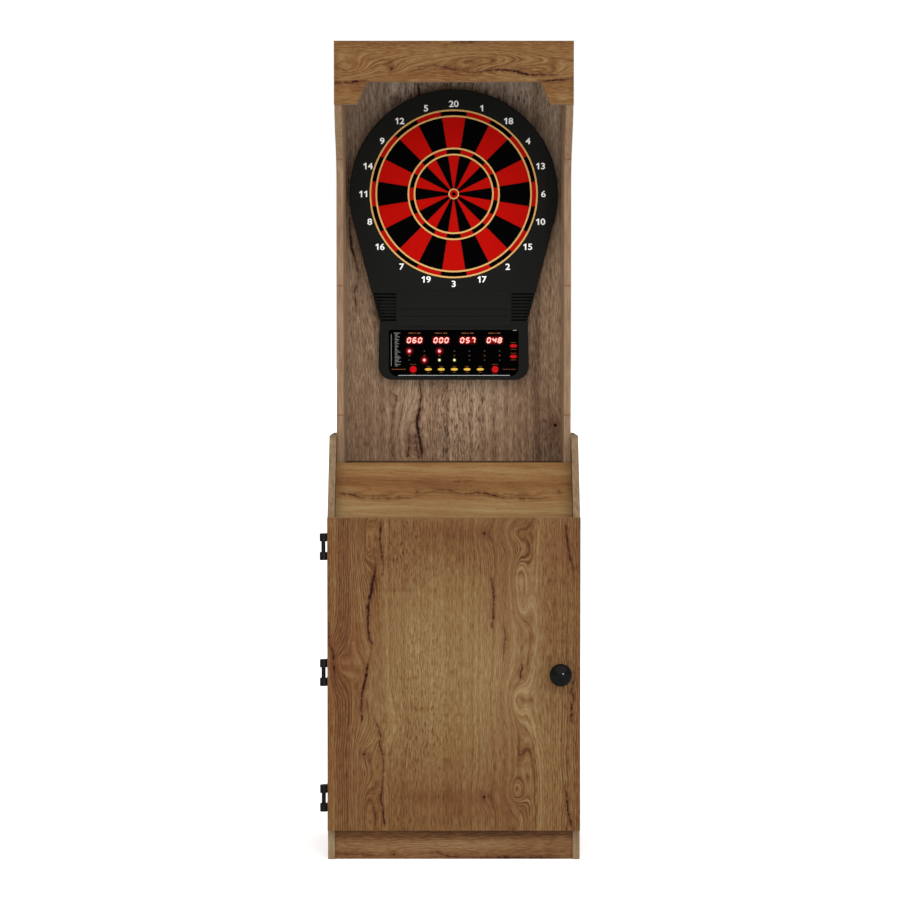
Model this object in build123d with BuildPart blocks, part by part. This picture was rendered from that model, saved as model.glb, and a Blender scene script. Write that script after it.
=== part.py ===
"""Free-standing dart board cabinet: a low cupboard with a hinged door, and an open upper
unit with a hood that holds an electronic dart board at regulation height.

Millimetres. +Z is up, +X is to the right as seen from the front, and the front faces -Y.
The origin is on the floor, in the middle of the cabinet's width, and midway between the
knob's front and the cabinet's rear.
"""

from build123d import *
from math import asin, cos, degrees, radians, sin
import os

os.makedirs("parts", exist_ok=True)

# ---------------------------------------------------------------- driving dimensions
WIDTH = 650.0
HEIGHT = 2105.0
BOARD = 18.0
REAR_Y = 220.0
DOOR_FRONT_Y = -180.0
DOOR_GAP = 2.0

# Lower cupboard
INNER = WIDTH - 2 * BOARD
SIDE_FRONT_Y = DOOR_FRONT_Y + BOARD + DOOR_GAP
DOOR_BOTTOM = 78.0
DOOR_TOP = 885.0
CUPBOARD_TOP = 880.0
SHELF_BOTTOM = 470.0
PLINTH_SETBACK = 6.0
BACK_PANEL = 12.0
SLOPE_RUN = 117.0
SLOPE_RISE = 202.0
WING_TOP = 1091.0
WING_CHAMFER = 10.0
APRON_SETBACK = 45.0
APRON_TOP = 1020.0
DECK_TOP = 1016.0

# Upper unit
UPPER_WIDTH = INNER - 1.0
UPPER_INNER = UPPER_WIDTH - 2 * BOARD
UPPER_FRONT_Y = -25.0
BACKBOARD_Y = 185.0
BACKBOARD = 15.0
SWEEP_START_Z = 1748.0
SWEEP_MIDDLE = (-83.0, 1858.0)
SWEEP_END_Z = 1942.9
SWEEP_END_Y = -142.0
FASCIA_FRONT_Y = -146.0
FASCIA_BOTTOM = 2000.8
GUSSET_BOTTOM = SWEEP_END_Z + 0.2
GUSSET_INNER_BOTTOM = 248.5
GUSSET_INNER_TOP = 221.0
WALL_RAIL_HEIGHT = 82.0

# Hinges and knob
HINGE_X = -WIDTH / 2 - 10.0
HINGE_Y = DOOR_FRONT_Y + 10.0
HINGE_HEIGHTS = (161.3, 485.8, 810.1)
KNUCKLE_R = 9.6
BARREL_R = 5.4
PIN_R = 2.5
PIN_CLEARANCE = 0.05
LEAF_HALF_HEIGHT = 34.1
BARREL_HALF_HEIGHT = 13.6
KNUCKLE_GAP = 0.4
HINGE_SCREW_RISE = 24.0
CABINET_LEAF = 2.0
CABINET_LEAF_WIDTH = 30.0
STEM = 2.4
KNOB_X = 273.8
KNOB_Z = 483.0
KNOB_R = 28.9
KNOB_RIM = 22.0
KNOB_BORE_R = 2.0
KNOB_LENGTH = 40.0

# Dart board: the bull is at regulation height
BULL_Z = 1732.0
HOUSING_FRONT_Y = 138.0
HOUSING_BACK_Y = 182.0
HOUSING_R = 278.7
HOUSING_WALL = 3.0
NECK_X = 198.2
NECK_DROP = 343.0
CONSOLE_X = 203.0
CONSOLE_BOTTOM = 497.0
CONSOLE_CORNER = 38.0
SECTORS = 20
RING_WIDTH = 4.4
RING_RADII = (104.9, 121.1, 207.0, 222.8)
BULL_RING_OUTER = 14.2
BULL_RING_INNER = 11.2
OUTER_BULL_R = 10.8
INNER_BULL_R = 5.0
TARGET_R = RING_RADII[3] + RING_WIDTH / 2
WEB_HALF = 0.6
CELL_GAP = 0.35
SPIDER_FRONT_Y = 138.5
SPIDER_BACK_Y = 149.0
SEGMENT_FRONT_Y = 139.6
SEGMENT_BACK_Y = 151.0
MEMBRANE_FRONT_Y = 152.6
MEMBRANE = 0.8

# Console
WINDOW_X = 174.0
WINDOW_TOP = -363.0
WINDOW_BOTTOM = -488.0
WINDOW_THICKNESS = 1.5
WINDOW_LEDGE = 2.0
PCB_FRONT_Y = 152.0
BUTTON_PROUD = 2.5
BUTTON_CLEARANCE = 0.4
BUTTON_TRAVEL = 1.2
FLANGE = 1.6
FLANGE_THICKNESS = 1.5

# Hardware
CONFIRMAT_HEAD_R = 5.0
CONFIRMAT_SHANK_R = 3.5
CONFIRMAT_THREAD_R = 2.5
CONFIRMAT_LENGTH = 50.0
HOLE_ALLOWANCE = 0.05

# ---------------------------------------------------------------- shared planes and places
def front_plane(y):
    """Plane that faces the player at depth y, centred on the bull."""
    return Plane(origin=(0, y, BULL_Z), x_dir=(1, 0, 0), z_dir=(0, -1, 0))


def facing(point, direction):
    """Place on a surface, with its local +Z along the outward direction."""
    return Location(Plane(origin=point, z_dir=direction))


def save(piece, name):
    """Label a finished piece and write it to its own file."""
    piece.part.label = name
    export_step(piece.part, f"parts/{name}.step")


def polar(radius, angle):
    """Point at an angle in degrees, measured from the local x axis."""
    return (radius * cos(radians(angle)), radius * sin(radians(angle)))


# Connector screws of the lower cupboard: (y, z) on each side panel's outer face
BOTTOM_PANEL_Z = DOOR_BOTTOM + BOARD / 2
TOP_PANEL_Z = CUPBOARD_TOP - BOARD / 2
DECK_Z = DECK_TOP - BOARD / 2
PLINTH_Y = SIDE_FRONT_Y + PLINTH_SETBACK + BOARD / 2
RAIL_Y = REAR_Y - BOARD / 2
RAIL_Z = (CUPBOARD_TOP + DECK_TOP - BOARD) / 2
PANEL_SCREW_Y = (-120.0, 160.0)
DECK_SCREW_Y = (40.0, 190.0)
SIDE_SCREWS = (
    [(y, BOTTOM_PANEL_Z) for y in PANEL_SCREW_Y]
    + [(y, TOP_PANEL_Z) for y in PANEL_SCREW_Y]
    + [(y, DECK_Z) for y in DECK_SCREW_Y]
    + [(PLINTH_Y, DOOR_BOTTOM / 2), (RAIL_Y, RAIL_Z)]
)
ROOF_SCREW_Y = (-60.0, 60.0, 180.0)
ROOF_SCREW_X = UPPER_WIDTH / 2 - BOARD / 2

# Bolts that hold the upper unit between the wings of the lower one
WING_BOLTS = [(50.0, 1063.0), (160.0, 1063.0)]
BOLT_R = 3.0
BOLT_HEAD_R = 7.0
BOLT_HEAD = 2.0
INSERT_R = 5.0
INSERT_LENGTH = 13.0

# Shelf pins: (y, z) on each side panel's inner face, in columns of spare holes
SHELF_PIN_R = 2.5
SHELF_PIN_Y = (-100.0, 160.0)
SHELF_PIN_Z = SHELF_BOTTOM - SHELF_PIN_R
HOLE_PITCH = 32.0
PIN_HOLE_DEPTH = 9.0

# Dowels between the fascia and the side panels' front edges
DOWEL_R = 4.0
DOWEL_LENGTH = 30.0
DOWEL_Z = (1960.0, 2045.0)
DOWEL_Y = FASCIA_FRONT_Y + BOARD

# Screws that hold the dart board: (x, height from the bull)
COVER_SCREWS = [(180, 180), (262, -20), (188, -440)]
MOUNT_SCREWS = [(200, 150), (120, -310)]
WALL_HOLE_X = 200.0
WALL_HOLE_R = 3.0

# Buttons: name, x, height from the bull, half width, half height
ROUND_R = 9.1
OVAL = (9.4, 3.8)
WIDE_OVAL = (9.8, 4.8)
BUTTON_ROW = -469.0
BUTTONS = [
    ("button_round_left", -108.6, BUTTON_ROW, ROUND_R, ROUND_R),
    ("button_round_right", 111.0, BUTTON_ROW, ROUND_R, ROUND_R),
    ("button_oval_select_1", -67.8, BUTTON_ROW, *OVAL),
    ("button_oval_select_2", -33.4, BUTTON_ROW, *OVAL),
    ("button_oval_select_3", 1.8, BUTTON_ROW, *OVAL),
    ("button_oval_select_4", 35.9, BUTTON_ROW, *OVAL),
    ("button_oval_select_5", 71.3, BUTTON_ROW, *OVAL),
    ("button_oval_upper", 160.2, -406.2, *WIDE_OVAL),
    ("button_oval_lower", 160.2, -434.6, *WIDE_OVAL),
]
DIGIT_X = (-105.0, -34.5, 36.5, 109.0)
DIGIT_ROW = -391.0
LED_X = (-119.0, -78.5, -38.5, 1.9, 42.5, 83.5, 123.0)
LED_ROWS = (-420.0, -444.0)


# ---------------------------------------------------------------- repeated shapes
def turned(points):
    """Solid of revolution about Z from (radius, height) points."""
    with BuildPart() as body:
        with BuildSketch(Plane.XZ):
            with BuildLine():
                Polyline(*points, close=True)
            make_face()
        revolve(axis=Axis.Z)
    return body.part


def countersunk_screw(head_r, head_depth, shank_r, length):
    """Flush-headed screw: its face is at z = 0 and it points down."""
    tip = 1.2 * shank_r
    return turned(
        [
            (0, 0),
            (head_r, 0),
            (shank_r, -head_depth),
            (shank_r, tip - length),
            (0, -length),
        ]
    )


def pan_screw(head_r, head, shank_r, length):
    """Raised-head screw: the underside of its head is at z = 0 and it points down."""
    return turned(
        [
            (0, head),
            (head_r * 0.6, head),
            (head_r, head * 0.4),
            (head_r, 0),
            (shank_r, 0),
            (shank_r, shank_r - length),
            (0, -length),
        ]
    )


def confirmat():
    """Two-step cabinet screw with a flat head, flush at z = 0."""
    return turned(
        [
            (0, 0),
            (CONFIRMAT_HEAD_R, 0),
            (CONFIRMAT_SHANK_R, -2.5),
            (CONFIRMAT_SHANK_R, -BOARD),
            (CONFIRMAT_THREAD_R, -BOARD),
            (CONFIRMAT_THREAD_R, 3 - CONFIRMAT_LENGTH),
            (0, -CONFIRMAT_LENGTH),
        ]
    )


def confirmat_socket():
    """Hole of the screw's head and shank through one board."""
    play = HOLE_ALLOWANCE
    return turned(
        [
            (0, 0),
            (CONFIRMAT_HEAD_R + play, 0),
            (CONFIRMAT_SHANK_R + play, -2.5),
            (CONFIRMAT_SHANK_R + play, -BOARD - 1),
            (0, -BOARD - 1),
        ]
    )


def side_places(side, points, x=WIDTH / 2):
    """Places on a side panel's outer face; side is -1 for left and +1 for right."""
    return [facing((side * x, y, z), (side, 0, 0)) for y, z in points]


def edge_places(points):
    """Places on both ends of a board that lies between the side panels."""
    return side_places(-1, points, INNER / 2) + side_places(1, points, INNER / 2)


def thread_holes(places):
    """Pilot holes for connector screws, from the board's edge inwards."""
    with Locations(*places):
        Hole(CONFIRMAT_THREAD_R + HOLE_ALLOWANCE, CONFIRMAT_LENGTH - BOARD + 2)


def board_between(low, high):
    """Plain rectangular board given by its two opposite corners."""
    size = [b - a for a, b in zip(low, high)]
    with Locations(low):
        Box(*size, align=(Align.MIN, Align.MIN, Align.MIN))


def sector_face(inner, outer, trim):
    """One cell of the target, centred on the local x axis and trimmed on all sides."""
    half = 180.0 / SECTORS
    near = half - degrees(asin((WEB_HALF + trim) / inner))
    far = half - degrees(asin((WEB_HALF + trim) / outer))
    inner += trim
    outer -= trim
    with BuildSketch() as cell:
        with BuildLine():
            ThreePointArc(polar(outer, -far), (outer, 0), polar(outer, far))
            Line(polar(outer, far), polar(inner, near))
            ThreePointArc(polar(inner, near), (inner, 0), polar(inner, -near))
            Line(polar(inner, -near), polar(outer, -far))
        make_face()
    return cell.sketch


def cell_bounds():
    """Inner and outer radii of the four rings of cells, from the bull outwards."""
    half = RING_WIDTH / 2
    singles_in = (BULL_RING_OUTER, RING_RADII[0] - half)
    trebles = (RING_RADII[0] + half, RING_RADII[1] - half)
    singles_out = (RING_RADII[1] + half, RING_RADII[2] - half)
    doubles = (RING_RADII[2] + half, RING_RADII[3] - half)
    return singles_in, trebles, singles_out, doubles


def housing_outline(inset):
    """Board outline: a round top that runs down tangent lines to the console."""
    radius = HOUSING_R - inset
    tangent = 15.0
    with BuildSketch() as outline:
        Circle(radius)
        shoulder = polar(radius, -tangent)
        neck = (NECK_X - inset, -NECK_DROP)
        foot = (CONSOLE_X - inset, -CONSOLE_BOTTOM + inset)
        right = [shoulder, neck, foot]
        left = [(-x, y) for x, y in reversed(right)]
        with BuildLine():
            Polyline(*right, *left, close=True)
        make_face()
        feet = outline.vertices().sort_by(Axis.Y)[:2]
        fillet(feet, CONSOLE_CORNER - inset)
        necks = [v for v in outline.vertices() if abs(v.Y + NECK_DROP) < 0.01]
        fillet(necks, 25)
    return outline.sketch


def window_outline(inset):
    """Display window: small upper corners and large lower ones."""
    width = 2 * (WINDOW_X - inset)
    height = WINDOW_TOP - WINDOW_BOTTOM - 2 * inset
    middle = (WINDOW_TOP + WINDOW_BOTTOM) / 2
    with BuildSketch() as outline:
        with Locations((0, middle)):
            Rectangle(width, height)
        corners = outline.vertices().sort_by(Axis.Y)
        fillet(corners[:2], 24 - inset)
        upper = outline.vertices().sort_by(Axis.Y)[-2:]
        fillet(upper, 6 - inset / 2)
    return outline.sketch


def button_face(half_width, half_height, extra):
    """Round or oval outline of a button, grown by extra."""
    with BuildSketch() as face:
        if half_width == half_height:
            Circle(half_width + extra)
        else:
            Ellipse(half_width + extra, half_height + extra)
    return face.sketch


# ---------------------------------------------------------------- lower cupboard
def base_side(side):
    """Side panel with a sloped shoulder above the door and a wing above the deck."""
    inner_x = side * INNER / 2
    slope_y = SIDE_FRONT_Y + SLOPE_RUN
    slope_z = DOOR_TOP + SLOPE_RISE
    with BuildPart() as panel:
        with BuildSketch(Plane.YZ.offset(inner_x)):
            with BuildLine():
                Polyline(
                    (SIDE_FRONT_Y, 0),
                    (SIDE_FRONT_Y, DOOR_TOP),
                    (slope_y, slope_z),
                    (slope_y + WING_CHAMFER, WING_TOP),
                    (REAR_Y, WING_TOP),
                    (REAR_Y, 0),
                    close=True,
                )
            make_face()
        extrude(amount=side * BOARD)
        add(confirmat_sockets(side_places(side, SIDE_SCREWS)), mode=Mode.SUBTRACT)
        with Locations(*side_places(side, WING_BOLTS)):
            CounterBoreHole(BOLT_R + 0.2, BOLT_HEAD_R + 0.2, BOLT_HEAD + 0.2)
        columns = [
            facing((inner_x, y, SHELF_PIN_Z + HOLE_PITCH * step), (-side, 0, 0))
            for y in SHELF_PIN_Y
            for step in range(-2, 3)
        ]
        with Locations(*columns):
            Hole(SHELF_PIN_R + HOLE_ALLOWANCE, PIN_HOLE_DEPTH + 1)
        if side < 0:
            with Locations(*cabinet_screw_places()):
                Hole(1.5 + HOLE_ALLOWANCE, 14)
        else:
            with Locations(*bumper_places()):
                Hole(1.5 + HOLE_ALLOWANCE, 6)
    return panel


def confirmat_sockets(places):
    """The holes of all connector screws at these places, as one cutting body."""
    with BuildPart() as cutter:
        with Locations(*places):
            add(confirmat_socket())
    return cutter.part


def cabinet_screw_places():
    """Screws of the hinges' cabinet leaves, on the left side panel's outer face."""
    return [
        facing((-WIDTH / 2 - CABINET_LEAF, y, centre + dz), (-1, 0, 0))
        for centre in HINGE_HEIGHTS
        for y in (SIDE_FRONT_Y + 10, SIDE_FRONT_Y + 22)
        for dz in (-HINGE_SCREW_RISE, HINGE_SCREW_RISE)
    ]


def bumper_places():
    """Door bumpers on the right side panel's front edge."""
    x = (WIDTH - BOARD) / 2
    return [facing((x, SIDE_FRONT_Y, z), (0, -1, 0)) for z in (110.0, 855.0)]


base_side_left = base_side(-1)
save(base_side_left, "base_side_left")
base_side_right = base_side(1)
save(base_side_right, "base_side_right")

BACK_PANEL_Y = REAR_Y - BACK_PANEL
HALF = INNER / 2

with BuildPart() as base_bottom_panel:
    board_between((-HALF, SIDE_FRONT_Y, DOOR_BOTTOM), (HALF, BACK_PANEL_Y, DOOR_BOTTOM + BOARD))
    thread_holes(edge_places([(y, BOTTOM_PANEL_Z) for y in PANEL_SCREW_Y]))
save(base_bottom_panel, "base_bottom_panel")

CATCH_X = 250.0
with BuildPart() as base_top_panel:
    board_between((-HALF, SIDE_FRONT_Y, CUPBOARD_TOP - BOARD), (HALF, BACK_PANEL_Y, CUPBOARD_TOP))
    thread_holes(edge_places([(y, TOP_PANEL_Z) for y in PANEL_SCREW_Y]))
save(base_top_panel, "base_top_panel")

with BuildPart() as base_back_panel:
    board_between((-HALF, BACK_PANEL_Y, 0), (HALF, REAR_Y, CUPBOARD_TOP))
save(base_back_panel, "base_back_panel")

with BuildPart() as plinth_board:
    plinth_front = SIDE_FRONT_Y + PLINTH_SETBACK
    board_between((-HALF, plinth_front, 0), (HALF, plinth_front + BOARD, DOOR_BOTTOM))
    thread_holes(edge_places([(PLINTH_Y, DOOR_BOTTOM / 2)]))
save(plinth_board, "plinth_board")

# The apron leans back at the side panels' slope, and its upper rear edge is cut to the deck
LEAN = SLOPE_RUN / SLOPE_RISE
APRON_FRONT_Y = SIDE_FRONT_Y + APRON_SETBACK
APRON_HORIZONTAL = BOARD * (1 + LEAN**2) ** 0.5
APRON_TOP_Y = APRON_FRONT_Y + LEAN * (APRON_TOP - CUPBOARD_TOP)
DECK_BOTTOM = DECK_TOP - BOARD
DECK_FRONT_Y = APRON_FRONT_Y + LEAN * (DECK_BOTTOM - CUPBOARD_TOP) + APRON_HORIZONTAL
with BuildPart() as apron_panel:
    with BuildSketch(Plane.YZ):
        with BuildLine():
            Polyline(
                (APRON_FRONT_Y, CUPBOARD_TOP),
                (APRON_FRONT_Y + APRON_HORIZONTAL, CUPBOARD_TOP),
                (DECK_FRONT_Y, DECK_BOTTOM),
                (DECK_FRONT_Y, APRON_TOP),
                (APRON_TOP_Y, APRON_TOP),
                close=True,
            )
        make_face()
    extrude(amount=HALF, both=True)
save(apron_panel, "apron_panel")

with BuildPart() as deck_board:
    board_between((-HALF, DECK_FRONT_Y, DECK_BOTTOM), (HALF, REAR_Y, DECK_TOP))
    thread_holes(edge_places([(y, DECK_Z) for y in DECK_SCREW_Y]))
save(deck_board, "deck_board")

with BuildPart() as deck_rear_rail:
    board_between((-HALF, REAR_Y - BOARD, CUPBOARD_TOP), (HALF, REAR_Y, DECK_BOTTOM))
    thread_holes(edge_places([(RAIL_Y, RAIL_Z)]))
save(deck_rear_rail, "deck_rear_rail")

with BuildPart() as adjustable_shelf:
    shelf_low = (2 - HALF, SIDE_FRONT_Y + 30, SHELF_BOTTOM)
    board_between(shelf_low, (HALF - 2, BACK_PANEL_Y - 3, SHELF_BOTTOM + BOARD))
    front_edges = adjustable_shelf.edges().filter_by(Axis.X).group_by(Axis.Y)[0]
    fillet(front_edges, 1.5)
save(adjustable_shelf, "adjustable_shelf")

shelf_pin = turned(
    [
        (0, 11),
        (SHELF_PIN_R, 11),
        (SHELF_PIN_R, 1.5),
        (5, 1.5),
        (5, 0),
        (SHELF_PIN_R, 0),
        (SHELF_PIN_R, -PIN_HOLE_DEPTH),
        (0, -PIN_HOLE_DEPTH),
    ]
)
with BuildPart() as shelf_pins:
    pin_places = [
        facing((side * HALF, y, SHELF_PIN_Z), (-side, 0, 0)) for side in (-1, 1) for y in SHELF_PIN_Y
    ]
    with Locations(*pin_places):
        add(shelf_pin)
save(shelf_pins, "shelf_pins")

# ---------------------------------------------------------------- upper unit
UPPER_HALF = UPPER_WIDTH / 2
ROOF_BOTTOM = HEIGHT - BOARD
FASCIA_BACK_Y = FASCIA_FRONT_Y + BOARD


def dowel_places(direction):
    """Dowels between the fascia and each side panel's front edge."""
    x = UPPER_HALF - BOARD / 2
    return [
        facing((side * x, DOWEL_Y, z), (0, direction, 0)) for side in (-1, 1) for z in DOWEL_Z
    ]


def upper_side(side):
    """Side panel whose front edge sweeps forward in an S to meet the hood."""
    with BuildPart() as panel:
        with BuildSketch(Plane.YZ.offset(side * (UPPER_HALF - BOARD))):
            with BuildLine():
                Line((UPPER_FRONT_Y, DECK_TOP), (UPPER_FRONT_Y, SWEEP_START_Z))
                Spline(
                    (UPPER_FRONT_Y, SWEEP_START_Z),
                    SWEEP_MIDDLE,
                    (SWEEP_END_Y, SWEEP_END_Z),
                    tangents=((0, 1), (-0.32, 0.95)),
                )
                Polyline(
                    (SWEEP_END_Y, SWEEP_END_Z),
                    (FASCIA_BACK_Y, SWEEP_END_Z),
                    (FASCIA_BACK_Y, ROOF_BOTTOM),
                    (REAR_Y, ROOF_BOTTOM),
                    (REAR_Y, DECK_TOP),
                    (UPPER_FRONT_Y, DECK_TOP),
                )
            make_face()
        extrude(amount=side * BOARD)
        with Locations(*side_places(side, WING_BOLTS, UPPER_HALF)):
            Hole(INSERT_R + HOLE_ALLOWANCE, INSERT_LENGTH + 1)
        with Locations(*dowel_places(-1)):
            Hole(DOWEL_R + HOLE_ALLOWANCE, DOWEL_LENGTH / 2 + 2)
        roof_holes = [facing((side * ROOF_SCREW_X, y, ROOF_BOTTOM), (0, 0, 1)) for y in ROOF_SCREW_Y]
        with Locations(*roof_holes):
            Hole(CONFIRMAT_THREAD_R + HOLE_ALLOWANCE, CONFIRMAT_LENGTH - BOARD + 2)
    return panel


upper_side_left = upper_side(-1)
save(upper_side_left, "upper_side_left")
upper_side_right = upper_side(1)
save(upper_side_right, "upper_side_right")

MOUNT_PLACES = [(side * x, rise) for x, rise in MOUNT_SCREWS for side in (-1, 1)]
WALL_HOLE_RISE = ROOF_BOTTOM - WALL_RAIL_HEIGHT / 2 - BULL_Z
WALL_HOLES = [(side * WALL_HOLE_X, WALL_HOLE_RISE) for side in (-1, 1)]
BACKBOARD_REAR_Y = BACKBOARD_Y + BACKBOARD


def rear_facing(points, y):
    """Places on a surface that faces the wall, from (x, height from the bull) points."""
    return [facing((x, y, BULL_Z + rise), (0, 1, 0)) for x, rise in points]


with BuildPart() as backboard:
    half = UPPER_INNER / 2
    board_between((-half, BACKBOARD_Y, DECK_TOP), (half, BACKBOARD_Y + BACKBOARD, ROOF_BOTTOM))
    with Locations(*rear_facing(MOUNT_PLACES, BACKBOARD_REAR_Y)):
        Hole(2.2, BACKBOARD)
    with Locations(*rear_facing(WALL_HOLES, BACKBOARD_REAR_Y)):
        Hole(WALL_HOLE_R, BACKBOARD)
save(backboard, "backboard")

with BuildPart() as wall_rail:
    rail_low = (-half, BACKBOARD_REAR_Y, ROOF_BOTTOM - WALL_RAIL_HEIGHT)
    board_between(rail_low, (half, BACKBOARD_REAR_Y + BOARD, ROOF_BOTTOM))
    with Locations(*rear_facing(WALL_HOLES, BACKBOARD_REAR_Y + BOARD)):
        Hole(WALL_HOLE_R, BOARD)
save(wall_rail, "wall_rail")

with BuildPart() as roof_panel:
    board_between((-UPPER_HALF, FASCIA_BACK_Y, ROOF_BOTTOM), (UPPER_HALF, REAR_Y, HEIGHT))
    roof_places = [
        facing((side * ROOF_SCREW_X, y, HEIGHT), (0, 0, 1)) for side in (-1, 1) for y in ROOF_SCREW_Y
    ]
    add(confirmat_sockets(roof_places), mode=Mode.SUBTRACT)
save(roof_panel, "roof_panel")

with BuildPart() as hood_fascia:
    with BuildSketch(Plane.XZ.offset(-FASCIA_BACK_Y)):
        with BuildLine():
            Polyline(
                (-HALF, HEIGHT),
                (HALF, HEIGHT),
                (HALF, GUSSET_BOTTOM),
                (GUSSET_INNER_BOTTOM, GUSSET_BOTTOM),
                (GUSSET_INNER_TOP, FASCIA_BOTTOM),
                (-GUSSET_INNER_TOP, FASCIA_BOTTOM),
                (-GUSSET_INNER_BOTTOM, GUSSET_BOTTOM),
                (-HALF, GUSSET_BOTTOM),
                close=True,
            )
        make_face()
    extrude(amount=BOARD)
    with Locations(*dowel_places(1)):
        Hole(DOWEL_R + HOLE_ALLOWANCE, DOWEL_LENGTH / 2 - 2)
    front_rim = hood_fascia.faces().sort_by(Axis.Y)[0].outer_wire().edges()
    fillet(front_rim, 0.8)
save(hood_fascia, "hood_fascia")

with BuildPart() as fascia_dowels:
    reach = DOWEL_LENGTH / 2
    dowel = turned(
        [
            (0, reach - 3),
            (DOWEL_R - 1, reach - 3),
            (DOWEL_R, reach - 4),
            (DOWEL_R, -reach + 1),
            (DOWEL_R - 1, -reach),
            (0, -reach),
        ]
    )
    with Locations(*dowel_places(-1)):
        add(dowel)
save(fascia_dowels, "fascia_dowels")

# ---------------------------------------------------------------- cabinet fasteners
with BuildPart() as confirmat_screws:
    screw = confirmat()
    with Locations(*side_places(-1, SIDE_SCREWS), *side_places(1, SIDE_SCREWS), *roof_places):
        add(screw)
save(confirmat_screws, "confirmat_screws")

with BuildPart() as connector_bolts:
    bolt_end = WIDTH / 2 - UPPER_HALF + INSERT_LENGTH - 1
    bolt = turned(
        [
            (0, 0),
            (BOLT_HEAD_R - 1, 0),
            (BOLT_HEAD_R, -0.8),
            (BOLT_HEAD_R, -BOLT_HEAD),
            (BOLT_R, -BOLT_HEAD),
            (BOLT_R, -bolt_end),
            (0, -bolt_end),
        ]
    )
    with Locations(*side_places(-1, WING_BOLTS), *side_places(1, WING_BOLTS)):
        add(bolt)
save(connector_bolts, "connector_bolts")

# Threaded inserts, pressed into the upper panels' outer faces
with BuildPart() as connector_nuts:
    bore = BOLT_R + HOLE_ALLOWANCE
    insert = turned(
        [
            (bore, 0),
            (INSERT_R, 0),
            (INSERT_R, -INSERT_LENGTH + 1),
            (INSERT_R - 1, -INSERT_LENGTH),
            (bore, -INSERT_LENGTH),
        ]
    )
    insert_places = side_places(-1, WING_BOLTS, UPPER_HALF) + side_places(1, WING_BOLTS, UPPER_HALF)
    with Locations(*insert_places):
        add(insert)
save(connector_nuts, "connector_nuts")

# ---------------------------------------------------------------- door and its hardware
DOOR_BACK_Y = DOOR_FRONT_Y + BOARD
DOOR_LEAF_Y = DOOR_BACK_Y + 0.2
DOOR_LEAF = 1.6
DOOR_SCREW_X = -WIDTH / 2 + 8.0
STRIKE_Z = CUPBOARD_TOP - BOARD - 6.5

DOOR_SCREW_Z = [
    centre + dz for centre in HINGE_HEIGHTS for dz in (-HINGE_SCREW_RISE, HINGE_SCREW_RISE)
]
door_screw_places = [facing((DOOR_SCREW_X, DOOR_LEAF_Y + DOOR_LEAF, z), (0, 1, 0)) for z in DOOR_SCREW_Z]
knob_screw_place = facing((KNOB_X, DOOR_BACK_Y, KNOB_Z), (0, 1, 0))

with BuildPart() as door_panel:
    board_between((-WIDTH / 2, DOOR_FRONT_Y, DOOR_BOTTOM), (WIDTH / 2, DOOR_BACK_Y, DOOR_TOP))
    rim = door_panel.faces().sort_by(Axis.Y)[0].outer_wire().edges()
    fillet(rim, 1.2)
    with Locations(*[facing((DOOR_SCREW_X, DOOR_BACK_Y, z), (0, 1, 0)) for z in DOOR_SCREW_Z]):
        Hole(1.5 + HOLE_ALLOWANCE, 13)
    with Locations(knob_screw_place):
        Hole(2.2, BOARD)
save(door_panel, "door_panel")

# Knob: a short neck under a low domed head
with BuildPart() as door_knob:
    dome_rise = KNOB_LENGTH - KNOB_RIM
    with BuildSketch(Plane.XZ):
        with BuildLine():
            Line((0, 0), (12, 0))
            Line((12, 0), (9.5, 8))
            Spline((9.5, 8), (KNOB_R - 5, 14), (KNOB_R, KNOB_RIM), tangents=((0.6, 1), (0, 1)))
            # Dome: a quarter of an ellipse, by its middle point
            Spline(
                (KNOB_R, KNOB_RIM),
                (KNOB_R * 0.707, KNOB_RIM + dome_rise * 0.707),
                (0, KNOB_LENGTH),
                tangents=((0, 1), (-1, 0)),
            )
            Line((0, KNOB_LENGTH), (0, 0))
        make_face()
    revolve(axis=Axis.Z)
    with Locations(facing((0, 0, 0), (0, 0, -1))):
        Hole(KNOB_BORE_R + HOLE_ALLOWANCE, 16)
door_knob.part.location = facing((KNOB_X, DOOR_FRONT_Y, KNOB_Z), (0, -1, 0))
save(door_knob, "door_knob")

with BuildPart() as knob_screw:
    with Locations(knob_screw_place):
        add(pan_screw(4.0, 1.6, 2.0, BOARD + 14))
save(knob_screw, "knob_screw")

with BuildPart() as hinge_door_leaves:
    plate_right = -WIDTH / 2 + 16
    knuckle_bottom = BARREL_HALF_HEIGHT + KNUCKLE_GAP
    for centre in HINGE_HEIGHTS:
        low_z = centre - LEAF_HALF_HEIGHT
        high_z = centre + LEAF_HALF_HEIGHT
        board_between(
            (-WIDTH / 2 + 1, DOOR_LEAF_Y, low_z), (plate_right, DOOR_LEAF_Y + DOOR_LEAF, high_z)
        )
        for start in (low_z, centre + knuckle_bottom):
            height = LEAF_HALF_HEIGHT - knuckle_bottom
            with BuildSketch(Plane.XY.offset(start)):
                with Locations((HINGE_X, HINGE_Y)):
                    Circle(KNUCKLE_R)
            extrude(amount=height)
            board_between(
                (HINGE_X - 1, HINGE_Y + 4, start),
                (-WIDTH / 2 - 0.3, DOOR_LEAF_Y + DOOR_LEAF, start + height),
            )
            board_between(
                (-WIDTH / 2 - 1, DOOR_LEAF_Y, start),
                (-WIDTH / 2 + 2, DOOR_LEAF_Y + DOOR_LEAF, start + height),
            )
            with Locations(facing((HINGE_X, HINGE_Y, start + height), (0, 0, 1))):
                Hole(PIN_R + PIN_CLEARANCE, height)
    with Locations(*door_screw_places):
        CounterSinkHole(1.5 + HOLE_ALLOWANCE, 3.05, 20, counter_sink_angle=90)
save(hinge_door_leaves, "hinge_door_leaves")

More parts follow.
